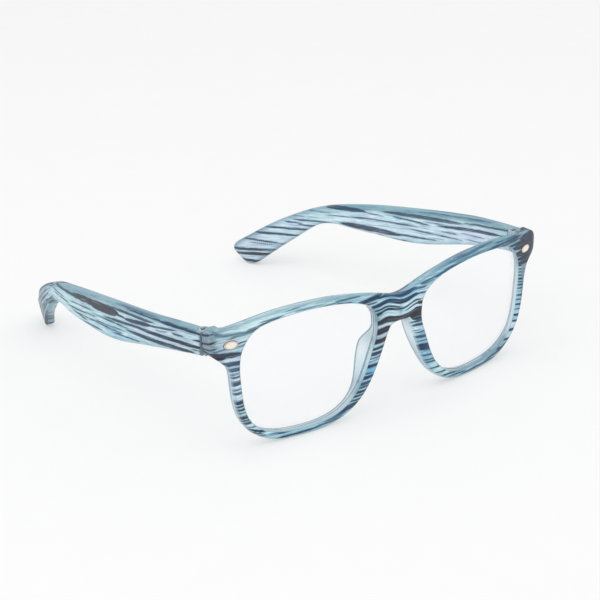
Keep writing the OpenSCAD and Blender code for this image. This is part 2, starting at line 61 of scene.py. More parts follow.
# Each row: a point of the opening in shares of its half sizes, and the way out to the outline in
# shares of the rim's width there
rim_rows = {
    nose_w: [[-0.99, 0.33, -1.36, 0], [-0.975, 0.19, -1.18, 0.08], [-0.905, -0.03, -1.08, -0.2],
             [-0.815, -0.36, -1.08, 0], [-0.69, -0.655, -0.72, -0.52]],
    low_w: [[-0.48, -0.89, -0.55, -1.05], [-0.18, -1, -0.2, -1.05], [0.21, -1, 0.25, -1],
            [0.55, -0.95, 0.5, -1.15]],
    side_w: [[0.845, -0.745, 0.88, -0.22], [0.95, -0.41, 1.07, 0.3], [0.98, -0.03, 1.07, 0.5],
             [1, 0.23, 1.07, 0.75]],
    top_w: [[0.42, 0.955, 1.4, 1.42], [0.04, 0.985, 0.4, 1.17], [-0.33, 0.955, -0.5, 1.27],
            [-0.66, 0.885, -2.3, 0.98], [-0.885, 0.755, -3.25, 0.96]],
}
# At the end piece the way out is given by how far in from end_u it ends, and by shares of end_half
end_rows = [[0.99, 0.46, 0.2, -0.92], [0.94, 0.63, 0.2, -0.2], [0.84, 0.8, 0, 1.1], [0.71, 0.9, 6.6, 1.1]]



def opening(shares):
    """Points of the opening: its middle plus the shares times its half sizes."""
    return np.array([mid_u, lens_z]) + np.array(shares) * [half_w, half_h]


inner_rows, outer_rows = [opening([[-0.985, 0.44]])], [np.array([[0, lens_z + bridge_low]])]
for width, group in rim_rows.items():
    group = np.array(group)
    if width == top_w:
        ends = np.array(end_rows)
        inner_rows.append(opening(ends[:, :2]))
        outer_rows.append(np.stack([end_u - ends[:, 2], lens_z + end_mid + ends[:, 3] * end_half], 1))
    inner_rows.append(opening(group[:, :2]))
    outer_rows.append(inner_rows[-1] + width * group[:, 2:])
inner_rows.append(opening([[-0.965, 0.595], [-0.98, 0.53]]))
outer_rows.append(np.array([[0, lens_z + bridge_top]]))
inner_rows, outer_rows = np.concatenate(inner_rows), np.concatenate(outer_rows)
turns = len(inner_rows)
cut = turns - 2.0
inner_rows = np.concatenate([inner_rows[-1:], inner_rows, inner_rows[:2]])
outer_rows = np.concatenate([outer_rows[1:2] * [-1, 1], outer_rows, outer_rows[[-2, -3]] * [-1, 1]])


def spline(rows, s):
    """Uniform cubic B-spline and its outward normals. With f the share of s within its stretch, a
    point is ((1-f)^3 A + (3f^3-6f^2+4) B + (-3f^3+3f^2+3f+1) C + f^3 D) / 6 of four rows."""
    k = np.floor(s).astype(int)
    f = (s - k)[:, None]
    a, b, c, d = rows[k], rows[k + 1], rows[k + 2], rows[np.minimum(k + 3, len(rows) - 1)]
    point = ((1 - f) ** 3 * a + (3 * f ** 3 - 6 * f ** 2 + 4) * b
             + (-3 * f ** 3 + 3 * f ** 2 + 3 * f + 1) * c + f ** 3 * d) / 6
    slope = -(1 - f) ** 2 * a + (3 * f ** 2 - 4 * f) * b + (-3 * f ** 2 + 2 * f + 1) * c + f ** 2 * d
    normal = np.stack([slope[:, 1], -slope[:, 0]], 1)
    return point, normal / np.linalg.norm(normal, axis=1)[:, None]


def ease(s):
    """Cosine ramp from 0 to 1 as s goes from 0 to 1, level beyond."""
    return (1 - np.cos(np.pi * np.clip(s, 0, 1))) / 2


def on_front(p, depth):
    """A flat point (u, v) laid round the front's vertical cylinder of radius front_r, and depth back."""
    turn = p[..., 0] / front_r
    return np.stack([front_r * np.sin(turn), front_r * (1 - np.cos(turn)) + depth, p[..., 1]], -1)


hinge = {joint["child"]: joint for joint in frame["joints"]}["left_temple_arm"]
lean = math.atan2(-hinge["axis"][1], hinge["axis"][2])
side_x = front_r * math.sin(end_u / front_r) + 0.1
pivot = np.array([side_x - 3.2, joint_y + 2.3, 13.0])


def tilted(y, z, angle):
    """Depths and heights turned back about X by the angle."""
    return y * math.cos(angle) - z * math.sin(angle), y * math.sin(angle) + z * math.cos(angle)


shift_y, lift = np.array(hinge["pos_m"][1:]) * 1000 - tilted(pivot[1], pivot[2], lean)


def to_world(p):
    """Front's frame in mm to the shared frame in m: leaned back, so that rims and tips touch one
    floor, then moved by shift_y and lift."""
    y, z = tilted(p[..., 1], p[..., 2], lean)
    return np.stack([p[..., 0], y + shift_y, z + lift], -1) * 0.001


def strip(grid, grain, zone, tint, closed=False, side=1):
    """One surface patch: a grid of points with its grain (along, across, ink), its zone (blue, lilac,
    shade) and its tint (film, charcoal, teal, mostly painted shade), and its quads in rows. side -1 gives the
    mirror image."""
    rows, columns = grid.shape[:2]
    i, j = np.meshgrid(np.arange(rows - (not closed)), np.arange(columns - 1), indexing="ij")
    nxt = (i + 1) % rows
    quads = np.stack([i * columns + j, nxt * columns + j, nxt * columns + j + 1, i * columns + j + 1], -1)
    quads = quads.reshape(-1, 4)[:, ::side]
    fields = (field.reshape(-1, 3) for field in (grain, zone, tint))
    return (grid * [side, 1, 1]).reshape(-1, 3), quads, *fields


def mirrored(strips):
    """The patches of the left side flipped over to the right one, with the same print on them."""
    return [(p * [-1, 1, 1], quads[:, ::-1], *rest) for p, quads, *rest in strips]


def make_piece(name, body, strips, sharp=40):
    """Joins patches into one mesh, merges the points that patches share, turns the faces outwards
    and lets the piece ride on its body. Edges that turn by more than sharp degrees stay crisp."""
    starts = np.cumsum([0] + [len(patch[0]) for patch in strips])
    mesh = bpy.data.meshes.new(name)
    mesh.from_pydata(np.concatenate([to_world(patch[0]) for patch in strips]), [],
                     np.concatenate([patch[1] + start for patch, start in zip(strips, starts)]).tolist())
    for index, attribute in enumerate(("grain", "zone", "tint")):
        values = np.concatenate([patch[2 + index] for patch in strips]).astype(np.float32)
        mesh.attributes.new(attribute, "FLOAT_VECTOR", "POINT").data.foreach_set("vector", values.ravel())
    work = bmesh.new()
    work.from_mesh(mesh)
    bmesh.ops.remove_doubles(work, verts=work.verts, dist=2e-6)
    bmesh.ops.dissolve_degenerate(work, edges=work.edges, dist=1e-7)
    bmesh.ops.recalc_face_normals(work, faces=work.faces)
    work.to_mesh(mesh)
    work.free()
    mesh.shade_smooth()
    mesh.set_sharp_from_angle(angle=math.radians(sharp))
    piece = bpy.data.objects.new(name, mesh)
    bpy.context.scene.collection.objects.link(piece)
    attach(piece, body)
    return piece


def fill(start, end, count):
    """Points on straight lines from start to end, count columns with both ends."""
    s = np.linspace(0, 1, count)[:, None]
    return start[:, None, :] * (1 - s) + end[:, None, :] * s


# The opening's line a and its normals n, the outline b and its normals w. The pads swell backwards
# from the nose side, and the end pieces run back to the joint.
row_steps = 26
s_all = np.linspace(0, turns, turns * row_steps + 1)[:-1]
s_out = s_all[s_all <= cut + 1e-9]
a, n = spline(inner_rows, s_all)
b, w = spline(outer_rows, s_out)
outs = len(b)
height = a[:, 1] - lens_z
pad = np.where(height > 0, 1 - ease(height / pad_above), 1 - ease(-height / pad_below))
pad = np.where(a[:, 0] > mid_u, 0, pad)
end = ease((b[:, 0] - end_from) / end_run)
sideways, upwards = np.maximum(0, w[:, 0]) ** 2, np.maximum(0, w[:, 1]) ** 2
turn = side_turn * sideways * (1 - end)
rim_w = np.linalg.norm(b - a[:outs], axis=1)
draft = np.minimum(side_draft * sideways + top_draft * upwards, 0.4 * rim_w)
b_rear = b - w * (pad[:outs] * pad_narrow + (1 - end) * draft)[:, None]
rear_in = rim_depth + pad * pad_deep
a_rear = a + n * (rear_flare * np.maximum(0, n[:, 0]) ** 2)[:, None]
back = front_r * (1 - np.cos(b[:, 0] / front_r))
rear_out = (rear_in[:outs] - turn) * (1 - end) + (joint_y - land_step - back) * end
r_rear = np.minimum(edge_rear, 0.3 * rim_w) * (1 - end) + edge_lens * end


def with_depth(p, depth):
    """A flat point and its depth as one (u, v, depth) row."""
    return np.concatenate([p, np.broadcast_to(depth, len(p))[:, None]], 1)


def arc(corner, way, depth_way, r, count, first, last):
    """Quarter round of radius r: corner + r (cos t way, depth_way sin t), t from first to last."""
    t, r = np.linspace(first, last, count), np.broadcast_to(r, len(corner))[:, None]
    flat = corner[:, None, :2] + (r * np.cos(t))[..., None] * way[:, None]
    return np.concatenate([flat, (corner[:, None, 2] + depth_way * r * np.sin(t))[..., None]], 2)


# The wall that faces the lens has narrow columns beside its edges, so that a tint there stays narrow
quarter = math.pi / 2
beside_lip, before_rear, at_rear = 0.2, 0.6, 0.35
front_inner = arc(with_depth(a + n * edge_lens, edge_lens), -n, -1, edge_lens, 5, quarter, 0)
rear_inner = arc(with_depth(a_rear + n * edge_lens, rear_in - edge_lens), -n, 1, edge_lens, 5, 0, quarter)
groove = np.stack([with_depth(a, groove_lip - beside_lip), with_depth(a, groove_lip),
                   with_depth(a + n * groove_d, groove_lip + groove_w / 2),
                   with_depth(a, groove_lip + groove_w)], 1)
reach_back = (rear_inner[:, 0] - groove[:, -1])[:, None]
wall_long = np.linalg.norm(reach_back, axis=2)
wall_share = np.concatenate([beside_lip / wall_long, np.full_like(wall_long, 0.3),
                             1 - before_rear / wall_long, 1 - at_rear / wall_long], 1)
lens_wall = groove[:, -1:] + reach_back * wall_share[..., None]
inner_wall = np.concatenate([front_inner, groove, lens_wall, rear_inner], 1)
rear_round = arc(with_depth(b_rear - w * r_rear[:, None], rear_out - r_rear), w, 1, r_rear, 6, quarter, 0)
front_round = arc(with_depth(b - w * edge_front, edge_front - turn), w, -1, edge_front, 7, 0, quarter)
wall = fill(rear_round[:, -1], front_round[:, 0], 7)[:, 1:-1]
outer_wall = np.concatenate([rear_round, wall, front_round], 1)
s_cut = ((s_all[outs:] - cut) / (turns - cut))[:, None]


def through_bridge(line):
    """An outer line carried on straight from its last point to its first, on the middle plane."""
    return np.concatenate([line, line[-1:] * (1 - s_cut) + line[:1] * s_cut])


face = fill(through_bridge(front_round[:, -1]), inner_wall[:, 0], 28)
rear_face = fill(inner_wall[:, -1], through_bridge(rear_round[:, 0]), 8)


def edge_distance(p, edges):
    """Distance of flat points from the nearest stretch of the closed outlines in edges."""
    nearest = np.full(len(p), np.inf)
    for line in edges:
        d = np.roll(line, -1, 0) - line
        share = ((p[:, None] - line) * d).sum(2) / np.maximum((d * d).sum(1), 1e-9)
        gap = p[:, None] - line - np.clip(share, 0, 1)[..., None] * d
        nearest = np.minimum(nearest, np.sqrt((gap * gap).sum(2)).min(1))
    return nearest


outline = front_round[::3, -1, :2]
outline = np.concatenate([outline, outline[::-1] * [-1, 1]])
reach = edge_distance(face.reshape(-1, 3)[:, :2], [outline, inner_wall[::3, 0, :2]]).reshape(face.shape[:2])
face[..., 2] -= front_crown * (1 - (1 - np.clip(reach / crown_run, 0, 1)) ** 2)

# The print's main streaks, drawn one by one. Each row: from and to along the grain, height at either
# end, thickness, and shade, from about 0.3 for a soft blue one to 1 for a dark one
front_streaks = [
    # Right rim
    [-74, -57, 11.2, 9.9, 1.87, 0.9], [-67, -56, 7.6, 6.9, 1.43, 0.85], [-67, -56, 5.7, 4.7, 1.21, 0.8],
    [-67, -56, 4.2, 3.3, 0.5, 0.7], [-67, -56, 3.2, 2.3, 0.77, 0.75], [-66, -55, 1.2, 0, 1.65, 0.85],
    [-66, -55, -0.9, -2.2, 0.66, 0.75], [-66, -55, -2.2, -3.5, 0.88, 0.8], [-65, -54, -4.6, -6, 0.44, 0.6],
    [-65, -54, -5.4, -6.9, 1.1, 0.95], [-64, -53, -7, -8.4, 0.66, 0.85], [-64, -53, -8, -9.5, 0.88, 0.95],
    [-63, -53, -9.2, -10.7, 0.61, 0.85], [-63, -53, -10.1, -11.6, 0.39, 0.6], [-62, -52, -11, -12.6, 0.99, 1],
    [-62, -52, -12.4, -13.2, 0.66, 0.9], [-62, -52, -13.3, -14.3, 0.72, 0.85],
    [-61, -51, -14.5, -16.2, 0.44, 0.7], [-58, -50, -15.5, -18.6, 0.88, 1],
    [-59, -51, -16.6, -18.7, 0.66, 0.9], [-54, -50, -18.9, -19.6, 0.55, 0.8],
    [-51, -36, -19.6, -20.2, 0.44, 0.5], [-46.5, -36, -20.2, -20.1, 0.77, 0.9],
    [-47, -31, -21.8, -21.8, 0.88, 0.95], [-34, -22, -21.6, -20.6, 0.77, 0.6],
    # Its top
    [-68, -64, 18.4, 16.8, 1.2, 0.25], [-67, -55, 17, 16.6, 0.9, 0.3], [-63, -51, 15.6, 17, 0.8, 0.4],
    [-58.5, -52, 16.3, 17.3, 0.7, 0.75], [-60, -56, 13.4, 13.9, 0.5, 0.8], [-60, -56, 12.5, 12.9, 0.35, 0.6],
    [-56, -46, 17.4, 18.6, 0.3, 0.6], [-44, -36, 20.6, 21.2, 0.35, 0.5], [-34, -24, 19, 19.4, 0.3, 0.6],
    [-40, -28, 18.7, 18.9, 0.35, 0.6], [-68, -62.5, 12, 12.6, 0.6, 0.5], [-53, -44, 17.9, 19.6, 0.55, 0.85],
    [-52, -44, 18.9, 19.5, 0.6, 0.4], [-40, -30, 19.9, 20.1, 0.45, 0.35], [-26, -16, 19.9, 19.2, 0.7, 0.55],
    [-25, -19, 18.8, 17.9, 0.5, 0.85],
    # Bridge
    [-18, -7, 16.7, 17.5, 1.76, 1], [-10, 7.5, 16.6, 15.7, 1.54, 1], [-13.5, 8.5, 14.2, 13.6, 1.65, 1],
    [7.5, 11, 13.9, 13.6, 0.66, 0.8], [-12, 1, 12.5, 12, 0.77, 0.95], [-12, 10, 10.9, 11.6, 0.77, 1],
    [-12, -7, 10.9, 10.9, 1.21, 1], [1.5, 10.5, 10, 10.5, 0.66, 0.95], [7, 11, 10.5, 10.2, 1.32, 1],
    [-16, -9.5, 15.6, 15.6, 0.55, 0.8], [4, 11.5, 15.4, 15.7, 0.77, 0.7], [-13, 14, 7.9, 7.9, 2.09, 1],
    [8, 16, 17, 17.9, 0.77, 0.7],
    # Right nose side
    [-12, -3, 4.9, 4.9, 2.04, 1], [-13, -3, 1.7, 1.9, 1.68, 1], [-13, -4, -0.6, -0.4, 0.96, 0.95],
    [-14, -5, -2.2, -2, 1.08, 0.95], [-14, -6, -3.6, -3.5, 0.48, 0.7], [-15, -7, -4.5, -4.4, 0.42, 0.6],
    [-15, -7, -6.1, -5.9, 1.2, 1], [-14, -10.5, -8.3, -8.4, 0.48, 0.8], [-17, -8, -9.7, -9.4, 1.02, 1],
    [-18, -10, -11.5, -11.2, 0.9, 0.9], [-19, -11, -12.7, -12.5, 0.72, 0.9], [-20, -12, -14, -13.8, 0.9, 1],
    [-21, -13, -15.2, -15, 0.78, 0.9], [-23, -14, -16.4, -16.1, 0.84, 0.95],
    [-26, -16, -19, -17.3, 1.8, 0.95], [-30, -21, -20.6, -19.2, 1.08, 0.6],
    # Left nose side
    [4, 13, 7, 6.6, 4.68, 1], [4, 13, 4.4, 3.8, 0.72, 0.9], [5, 13, 3.1, 2.4, 0.96, 0.9],
    [6, 10, 1.2, 0.6, 0.36, 0.6], [6, 13, 0.3, -0.4, 0.72, 0.85], [6, 14, -1.2, -2.3, 1.08, 0.85],
    [7, 15, -2.9, -4.1, 0.48, 0.7], [7, 16, -5, -7, 2.64, 1], [9, 16, -8.8, -9.6, 0.6, 0.95],
    [9, 18, -10.7, -11.6, 0.54, 0.9], [10, 19, -11.7, -12.6, 0.6, 0.8], [13, 21, -14.8, -15.3, 0.66, 0.95],
    [16, 24, -17.2, -17.8, 0.6, 0.9], [19, 31, -19.1, -20.4, 0.72, 0.85], [22, 32, -20.6, -21.2, 0.6, 0.8],
    [28, 48, -21.8, -21.5, 0.84, 0.8], [43, 50, -19.4, -18.9, 0.96, 0.95], [47, 54, -20.2, -18, 0.72, 0.8],
    # Left rim
    [58.6, 60.4, 8.3, 7.9, 0.7, 1], [58.6, 60.4, 7, 6.6, 0.6, 0.95], [58.6, 60.4, 5.8, 5.4, 0.6, 0.95],
    [58.6, 60.4, 4.7, 4.3, 0.6, 1], [58.6, 60.4, 3.4, 3, 0.7, 1], [58.6, 60.4, 2.3, 1.9, 0.5, 0.95],
    [58.6, 60.6, 1.2, 0.8, 0.6, 0.95], [58.5, 60.7, 0, -0.4, 0.6, 0.95], [58.4, 60.8, -1.2, -1.6, 0.5, 0.9],
    [58.2, 61.4, -2.6, -3, 0.7, 1], [58, 61.2, -4.2, -4.7, 0.6, 0.95], [57.8, 61.2, -5.9, -6.4, 0.8, 1],
    [57.4, 61, -7.5, -8.1, 0.6, 0.9], [56.8, 61, -9.5, -10.2, 0.9, 1], [56, 61, -11.5, -12.3, 0.9, 1],
    [53, 60, -14, -15.2, 1, 1], [48, 57, -16.6, -17.6, 0.7, 0.9], [40, 55, -21.4, -19, 0.7, 0.9],
    # Its top and the left end piece
    [14, 24, 17.4, 19.3, 1, 0.85], [8, 15, 16.8, 16.9, 0.7, 0.6], [24, 40, 19.7, 20.2, 0.5, 0.55],
    [16, 30, 18.2, 19.4, 0.6, 0.8], [30, 52, 18.9, 19.3, 0.5, 0.85], [24, 44, 21.3, 21.8, 0.5, 0.7],
    [44, 60, 20.7, 19.8, 0.5, 0.85], [20, 36, 20.6, 21.2, 0.6, 0.5], [40, 60, 19.6, 19.2, 1, 0.85],
    [45, 60, 18.4, 18.3, 0.6, 0.95], [50, 62, 16.9, 17, 0.9, 1], [54, 76, 15.3, 15.9, 2.9, 0.9],
    [55, 76, 12.6, 12.9, 3, 0.9], [56, 76, 10.6, 10.3, 1.7, 0.95], [57, 76, 9, 8.8, 1.9, 0.9],
    [58, 76, 17.9, 17.9, 2.2, 0.85],
    # Side of the right end piece. Its last, broad dark streak lies over the end piece's underside, as painted
    # shade
    [-76, -66, 15.4, 18.4, 0.6, 0.95], [-76, -66, 12.9, 15.6, 0.85, 1], [-76, -65.5, 11.2, 13.4, 0.6, 0.95],
    [-76, -65, 10.5, 11.7, 0.9, 0.95], [-80, -62, 9.6, 9.8, 1.8, 1],
]


def draw(along, across, streaks):
    """Signed field of a set of streaks in mm, positive inside, and the shade of the nearest one.
    A streak's half thickness falls off as 1 - |2 s - 1|^4 from its middle, s being the share of its
    length, and beyond its ends the field drops by 0.3 mm per mm."""
    ink, shade = np.full(along.shape, -1.0), np.full(along.shape, 0.5)
    for first, last, start, stop, thick, dark in streaks:
        s = (along - first) / (last - first)
        off = np.abs(2 * s - 1)
        half = np.where(off < 1, thick / 2 * (1 - off ** 4), -0.3 * (off - 1) * (last - first) / 2)
        field = half - np.abs(across - start - (stop - start) * s)
        shade = np.where(field > ink, dark, shade)
        ink = np.maximum(ink, field)
    return np.stack([ink, shade], -1)


def spread(along, across, patches):
    """Sum of soft round patches, each (along, across, half length, half height, amount), as Gaussians."""
    return sum(amount * np.exp(-((along - x) / a) ** 2 - ((across - y) / b) ** 2)
               for x, y, a, b, amount in patches)


blue_patches = [
    (-12, -8, 6, 5, 1), (12, -6, 6, 9, 0.9), (0, 16, 11, 3, 0.9), (24, 19, 16, 5, 0.8), (45, 20, 14, 4, 0.6),
    (58, -3, 5, 12, 0.6), (38, -21, 18, 3, 0.4), (-20, 18, 8, 3, 0.4), (-26, -20, 9, 3, 0.6),
    (-42, -20, 12, 3, 0.5),
]
lilac_patches = [
    (-61, 4, 5, 9, 1), (-7, 5, 5, 4, 0.2), (8, 6, 4, 4, 0.8), (58, 15, 5, 3, 0.6), (9, 13, 3, 2, 0.6),
    (-63, 12, 6, 3, 0.4),
]
# Charcoal is mostly the print's own tone; the patches on the right end piece round and below its plaque are
# painted shade
charcoal_and_shade_patches = [
    (0, 8, 12, 2.5, 1), (-8, 4, 5, 3.5, 1), (64, 14, 8, 6, 0.9), (-69, 14, 3, 6, 0.9), (7, 11, 3, 2, 0.6),
    (-64, 10, 6, 2, 0.6), (10, -6, 3, 2, 0.3), (62, 1, 1.6, 10, 1.6), (-63, 15, 7, 4, 0.6),
]
# Teal is partly the print's own darker tone and partly painted shade, on the tops of the bars and on the
# right end piece round its plaque
teal_tone_and_shade_patches = [
    (38, 20.5, 26, 2.5, 0.8), (56, 18, 12, 3, 0.9), (-28, 19, 14, 2.5, 0.3), (50, -19, 9, 3, 0.9),
    (-70, 20, 5, 2, 0.5), (-8, 3, 4, 5, 0.5), (-15, -13, 4, 4, 0.5), (62, 1, 1.6, 10, 1.6),
    (-64, 15, 6, 4, 0.5), (-66, 10.5, 4, 1.5, 0.6), (30, -21, 12, 2, 0.3), (-10, 11.5, 2.5, 4, 1),
    (-71, 13, 4, 6, 0.6), (67, 13, 9, 6, 1.6), (12, -5, 4, 8, 0.3),
]
# The grain's waves over the bridge, as (place along it, rise, half length)
waves, wave_mid, wave_half = ((-5.5, 0.9, 3), (1, -0.7, 3.2), (6.3, 0.5, 2.2)), 12, 7


def front_strip(grid, film, edge, side):
    """A patch of the front from flat (u, v, depth) points, its share of film and its edges' share of
    teal, which is painted shade. The grain runs level along u, waves over the bridge, and runs on
    along the depth down the end piece's side."""
    u, v, depth = side * grid[..., 0], grid[..., 1], grid[..., 2]
    along = u + side * np.where(grid[..., 0] > mid_u, depth, 0)
    wave = sum(rise * np.exp(-((u - place) / half) ** 2) for place, rise, half in waves)
    across = v - wave * np.exp(-((v - wave_mid) / wave_half) ** 2)
    drawn = draw(along, across, front_streaks)
    grain = np.stack([along, across, drawn[..., 0]], -1)
    zone = np.stack([spread(u, v, blue_patches), spread(u, v, lilac_patches), drawn[..., 1]], -1)
    tint = np.stack([film, spread(u, v, charcoal_and_shade_patches), spread(u, v, teal_tone_and_shade_patches) + edge], -1)
    return strip(on_front(grid[..., :2], depth), grain, np.clip(zone, 0, 1), np.clip(tint, 0, 1), side=side)


# Share of film over each patch, and painted shade as darker teal: along its edges, where the plastic is
# seen through its full thickness, in the lens groove, more on the upper outside and on the opening's
# lower wall. The film ends on the outline's front round, but wraps the end pieces and, more thinly, the
# upper side.
up, down = np.maximum(0, w[:, 1])[:, None], np.maximum(0, -n[:, 1])[:, None]
side_film = np.maximum((end > 0.3)[:, None], 0.75 * up)
round_film = np.linspace(0, 1, 7) ** 0.5
outer_film = np.concatenate([np.repeat(side_film, 11, 1), np.maximum(side_film, round_film)], 1)
inner_film = np.zeros(inner_wall.shape[:2])
inner_film[:, 0] = 1
column = np.arange(face.shape[1])
face_shade = np.broadcast_to(0.5 * np.exp(-(column / 2) ** 2) + 0.35 * np.exp(-(column[::-1] / 1.5) ** 2),
                            face.shape[:2])
rear_shade = np.broadcast_to([1, 0.4, 0, 0, 0, 0, 0.2, 0.7], rear_face.shape[:2])
side_shade = 0.75 - 0.65 * pad[:outs, None]
round_shade = 0.3 * side_shade + (0.2 + 0.3 * up) * [0.2, 0.6, 0.9, 1, 1, 0.9, 0.6]
outer_shade = np.concatenate([np.repeat(0.7 + 0.3 * up, 6, 1), np.repeat(side_shade + 0.2 * up, 5, 1),
                             round_shade], 1)
lip_shade, groove_shade, wall_shade = [0.8, 0.5, 0.35, 0.25, 0.25], [0.25, 0.3, 0.4, 0.9], [0.05, 0, 0, 0.9]
inner_shade = np.concatenate([lip_shade, groove_shade, wall_shade, np.ones(5)]) + 0.45 * down

rings = [[np.concatenate([part, part[:1]]) for part in patch] for patch in (
    (face, np.ones(face.shape[:2]), face_shade), (inner_wall, inner_film, inner_shade),
    (rear_face, np.zeros(rear_face.shape[:2]), rear_shade))]
patches = [*rings, (outer_wall, outer_film, outer_shade)]
shell = [front_strip(*patch, side) for side in (1, -1) for patch in patches]
shell_piece = make_piece("front_shell", "front", shell)
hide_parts("front_frame")


def tone(r, g, b):
    """An 8-bit colour as a linear one: (c + 0.055) / 1.055 to the power 2.4."""
    return tuple(((c / 255 + 0.055) / 1.055) ** 2.4 if c > 10 else c / 255 / 12.92 for c in (r, g, b)) + (1,)


def finish(name):
    """A new material with its node tree and its Principled shader."""
    made = bpy.data.materials.new(name)
    made.use_nodes = True
    return made, made.node_tree, made.node_tree.nodes["Principled BSDF"]


def add(tree, kind, inputs=None, **settings):
    """Adds a node to a tree, makes its settings, sets or links its inputs, and returns its outputs."""
    node = tree.nodes.new("ShaderNode" + kind)
    for key, value in settings.items():
        setattr(node, key, value)
    for key, value in (inputs or {}).items():
        if hasattr(value, "is_output"):
            tree.links.new(value, node.inputs[key])
        else:
            node.inputs[key].default_value = value
    return node.outputs


def wood_print():
    """Node group of the wood-grain film. The drawn streaks' field is roughened by noise drawn out
    along the grain and cut off at 0 for their edges. Finer, weaker streaks and pale hairs come from
    noise alone. Tint turns the dark streaks to charcoal and darkens the ground and the bare plastic to
    teal, which is mostly painted shade, and its first value is the film's share: where that is 0 the plastic
    is bare."""
    group = bpy.data.node_groups.new("wood_print", "ShaderNodeTree")
    for way, kind, sockets in (("INPUT", "NodeSocketVector", ("Grain", "Zone", "Tint")),
                               ("INPUT", "NodeSocketColor", ("Pale", "Blue", "Lilac", "Plain")),
                               ("OUTPUT", "NodeSocketColor", ("Color",)),
                               ("OUTPUT", "NodeSocketFloat", ("Roughness", "Height"))):
        for socket in sockets:
            group.interface.new_socket(socket, in_out=way, socket_type=kind)
    source, sink = group.nodes.new("NodeGroupInput").outputs, group.nodes.new("NodeGroupOutput").inputs

    def arithmetic(operation):
        return lambda a, b: add(group, "Math", {0: a, 1: b}, operation=operation)[0]

    plus, minus, times = arithmetic("ADD"), arithmetic("SUBTRACT"), arithmetic("MULTIPLY")

    def streak_noise(length, width, offset):
        """Noise of mean 0, drawn out to about length along the grain and width across it, in mm."""
        scaled = add(group, "Mapping", {"Vector": source["Grain"], "Scale": (1 / length, 1 / width, 0),
                                        "Location": (offset, offset * 1.7, offset)})
        return minus(add(group, "TexNoise", {"Vector": scaled[0], "Scale": 1.0, "Detail": 2.0})[0], 0.5)

    def step(value, low, high, most=1.0):
        """Smooth step from 0 at low to most at high."""
        return add(group, "MapRange", {"Value": value, "From Min": low, "From Max": high, "To Max": most},
                   interpolation_type="SMOOTHSTEP")[0]

    def blend(factor, a, b, mode="MIX"):
        return add(group, "Mix", {0: factor, 6: a, 7: b}, data_type="RGBA", blend_type=mode)[2]

    def parts(name):
        return add(group, "SeparateXYZ", {0: source[name]})

    blue, lilac, shade = parts("Zone")
    film_share, charcoal, teal = parts("Tint")
    ragged = plus(times(streak_noise(3, 0.4, 3.1), 0.45), times(streak_noise(9, 1.4, 7.7), 0.5))
    ragged = plus(ragged, times(streak_noise(7, 0.2, 13.3), 0.35))
    field = plus(parts("Grain")[2], ragged)
    gaps = step(streak_noise(11, 0.22, 71.9), 0.08, 0.2, 0.55)
    ink = times(step(field, -0.13, 0.17), minus(1.0, gaps))
    halo = step(field, -0.5, 0.1, 0.4)
    faint = step(streak_noise(9, 0.5, 21.3), 0.07, 0.17, 0.55)
    fine = step(streak_noise(6, 0.24, 27.1), 0.06, 0.16, 0.4)
    pale_hair = step(streak_noise(8, 0.3, 42.9), 0.0, 0.14, 0.85)
    soft = step(streak_noise(14, 1.6, 35.9), -0.1, 0.14, 0.3)
    hair = streak_noise(24, 0.22, 51.7)

    base = blend(blue, source["Pale"], source["Blue"])
    base = blend(lilac, base, source["Lilac"])
    base = blend(soft, base, tone(104, 168, 188))
    base = blend(pale_hair, base, tone(226, 242, 246))
    # Teal darkens the printed ground: partly the print's own tone, mostly painted shade along edges, tops and
    # in the joint
    base = blend(times(teal, 0.75), base, blend(charcoal, tone(98, 142, 154), tone(96, 104, 120)))
    base = blend(halo, base, tone(92, 146, 172))
    base = blend(faint, base, tone(80, 130, 156))
    base = blend(fine, base, tone(58, 100, 132))
    dusk = step(plus(charcoal, streak_noise(20, 3, 63.1)), 0.2, 0.6)
    dark = blend(blue, tone(26, 50, 74), tone(22, 54, 92))
    dark = blend(dusk, dark, tone(42, 41, 52))
    weak = blend(0.55, base, tone(64, 108, 142))
    colour = blend(ink, base, blend(shade, weak, dark))
    lightness = plus(1.0, times(hair, 0.3))
    streaky = add(group, "CombineXYZ", {k: lightness for k in range(3)})[0]
    colour = blend(1.0, colour, streaky, "MULTIPLY")
    bare = blend(soft, source["Plain"], tone(234, 248, 252))
    bare = blend(times(blue, 0.25), bare, source["Blue"])
    bare = blend(times(lilac, 0.6), bare, tone(186, 202, 228))
    # Teal darkens the bare plastic, as painted shade along its edges and in the joint
    bare = blend(times(teal, 0.85), bare, tone(86, 134, 154))
    group.links.new(blend(film_share, bare, colour), sink["Color"])
    group.links.new(plus(0.4, times(hair, 0.25)), sink["Roughness"])
    group.links.new(hair, sink["Height"])
    return group


plastic, tree, shader = finish("printed_plastic")
fields = {name.capitalize(): add(tree, "Attribute", attribute_name=name)["Vector"]
          for name in ("grain", "zone", "tint")}
film = add(tree, "Group", {**fields, "Pale": tone(200, 234, 238), "Blue": tone(98, 176, 210),
                           "Lilac": tone(210, 222, 243), "Plain": tone(247, 254, 255)},
           node_tree=wood_print())
tree.links.new(film["Color"], shader.inputs["Base Color"])
tree.links.new(film["Roughness"], shader.inputs["Roughness"])
shader.inputs["Specular IOR Level"].default_value = 0.35
bump = add(tree, "Bump", {"Strength": 0.25, "Distance": 0.0001, "Height": film["Height"]})
tree.links.new(bump[0], shader.inputs["Normal"])
shell_piece.data.materials.append(plastic)

# Hinge ears on the end pieces
# A flat land behind each end piece, and two knuckles of the same moulding on it. The upper one is
# counterbored for the screw's head.
knuckle_r, tongue_h, ear_h, tongue_clear, ear_sunk = 1.9, 2.6, 2.4, 0.1, 0.6
screw_r, head_r, head_h, screw_fit, screw_run = 0.8, 1.25, 0.9, 0.02, 0.05
hinge_h = tongue_h + 2 * tongue_clear + 2 * ear_h
hinge_low, hinge_top = pivot[2] - hinge_h / 2, pivot[2] + hinge_h / 2


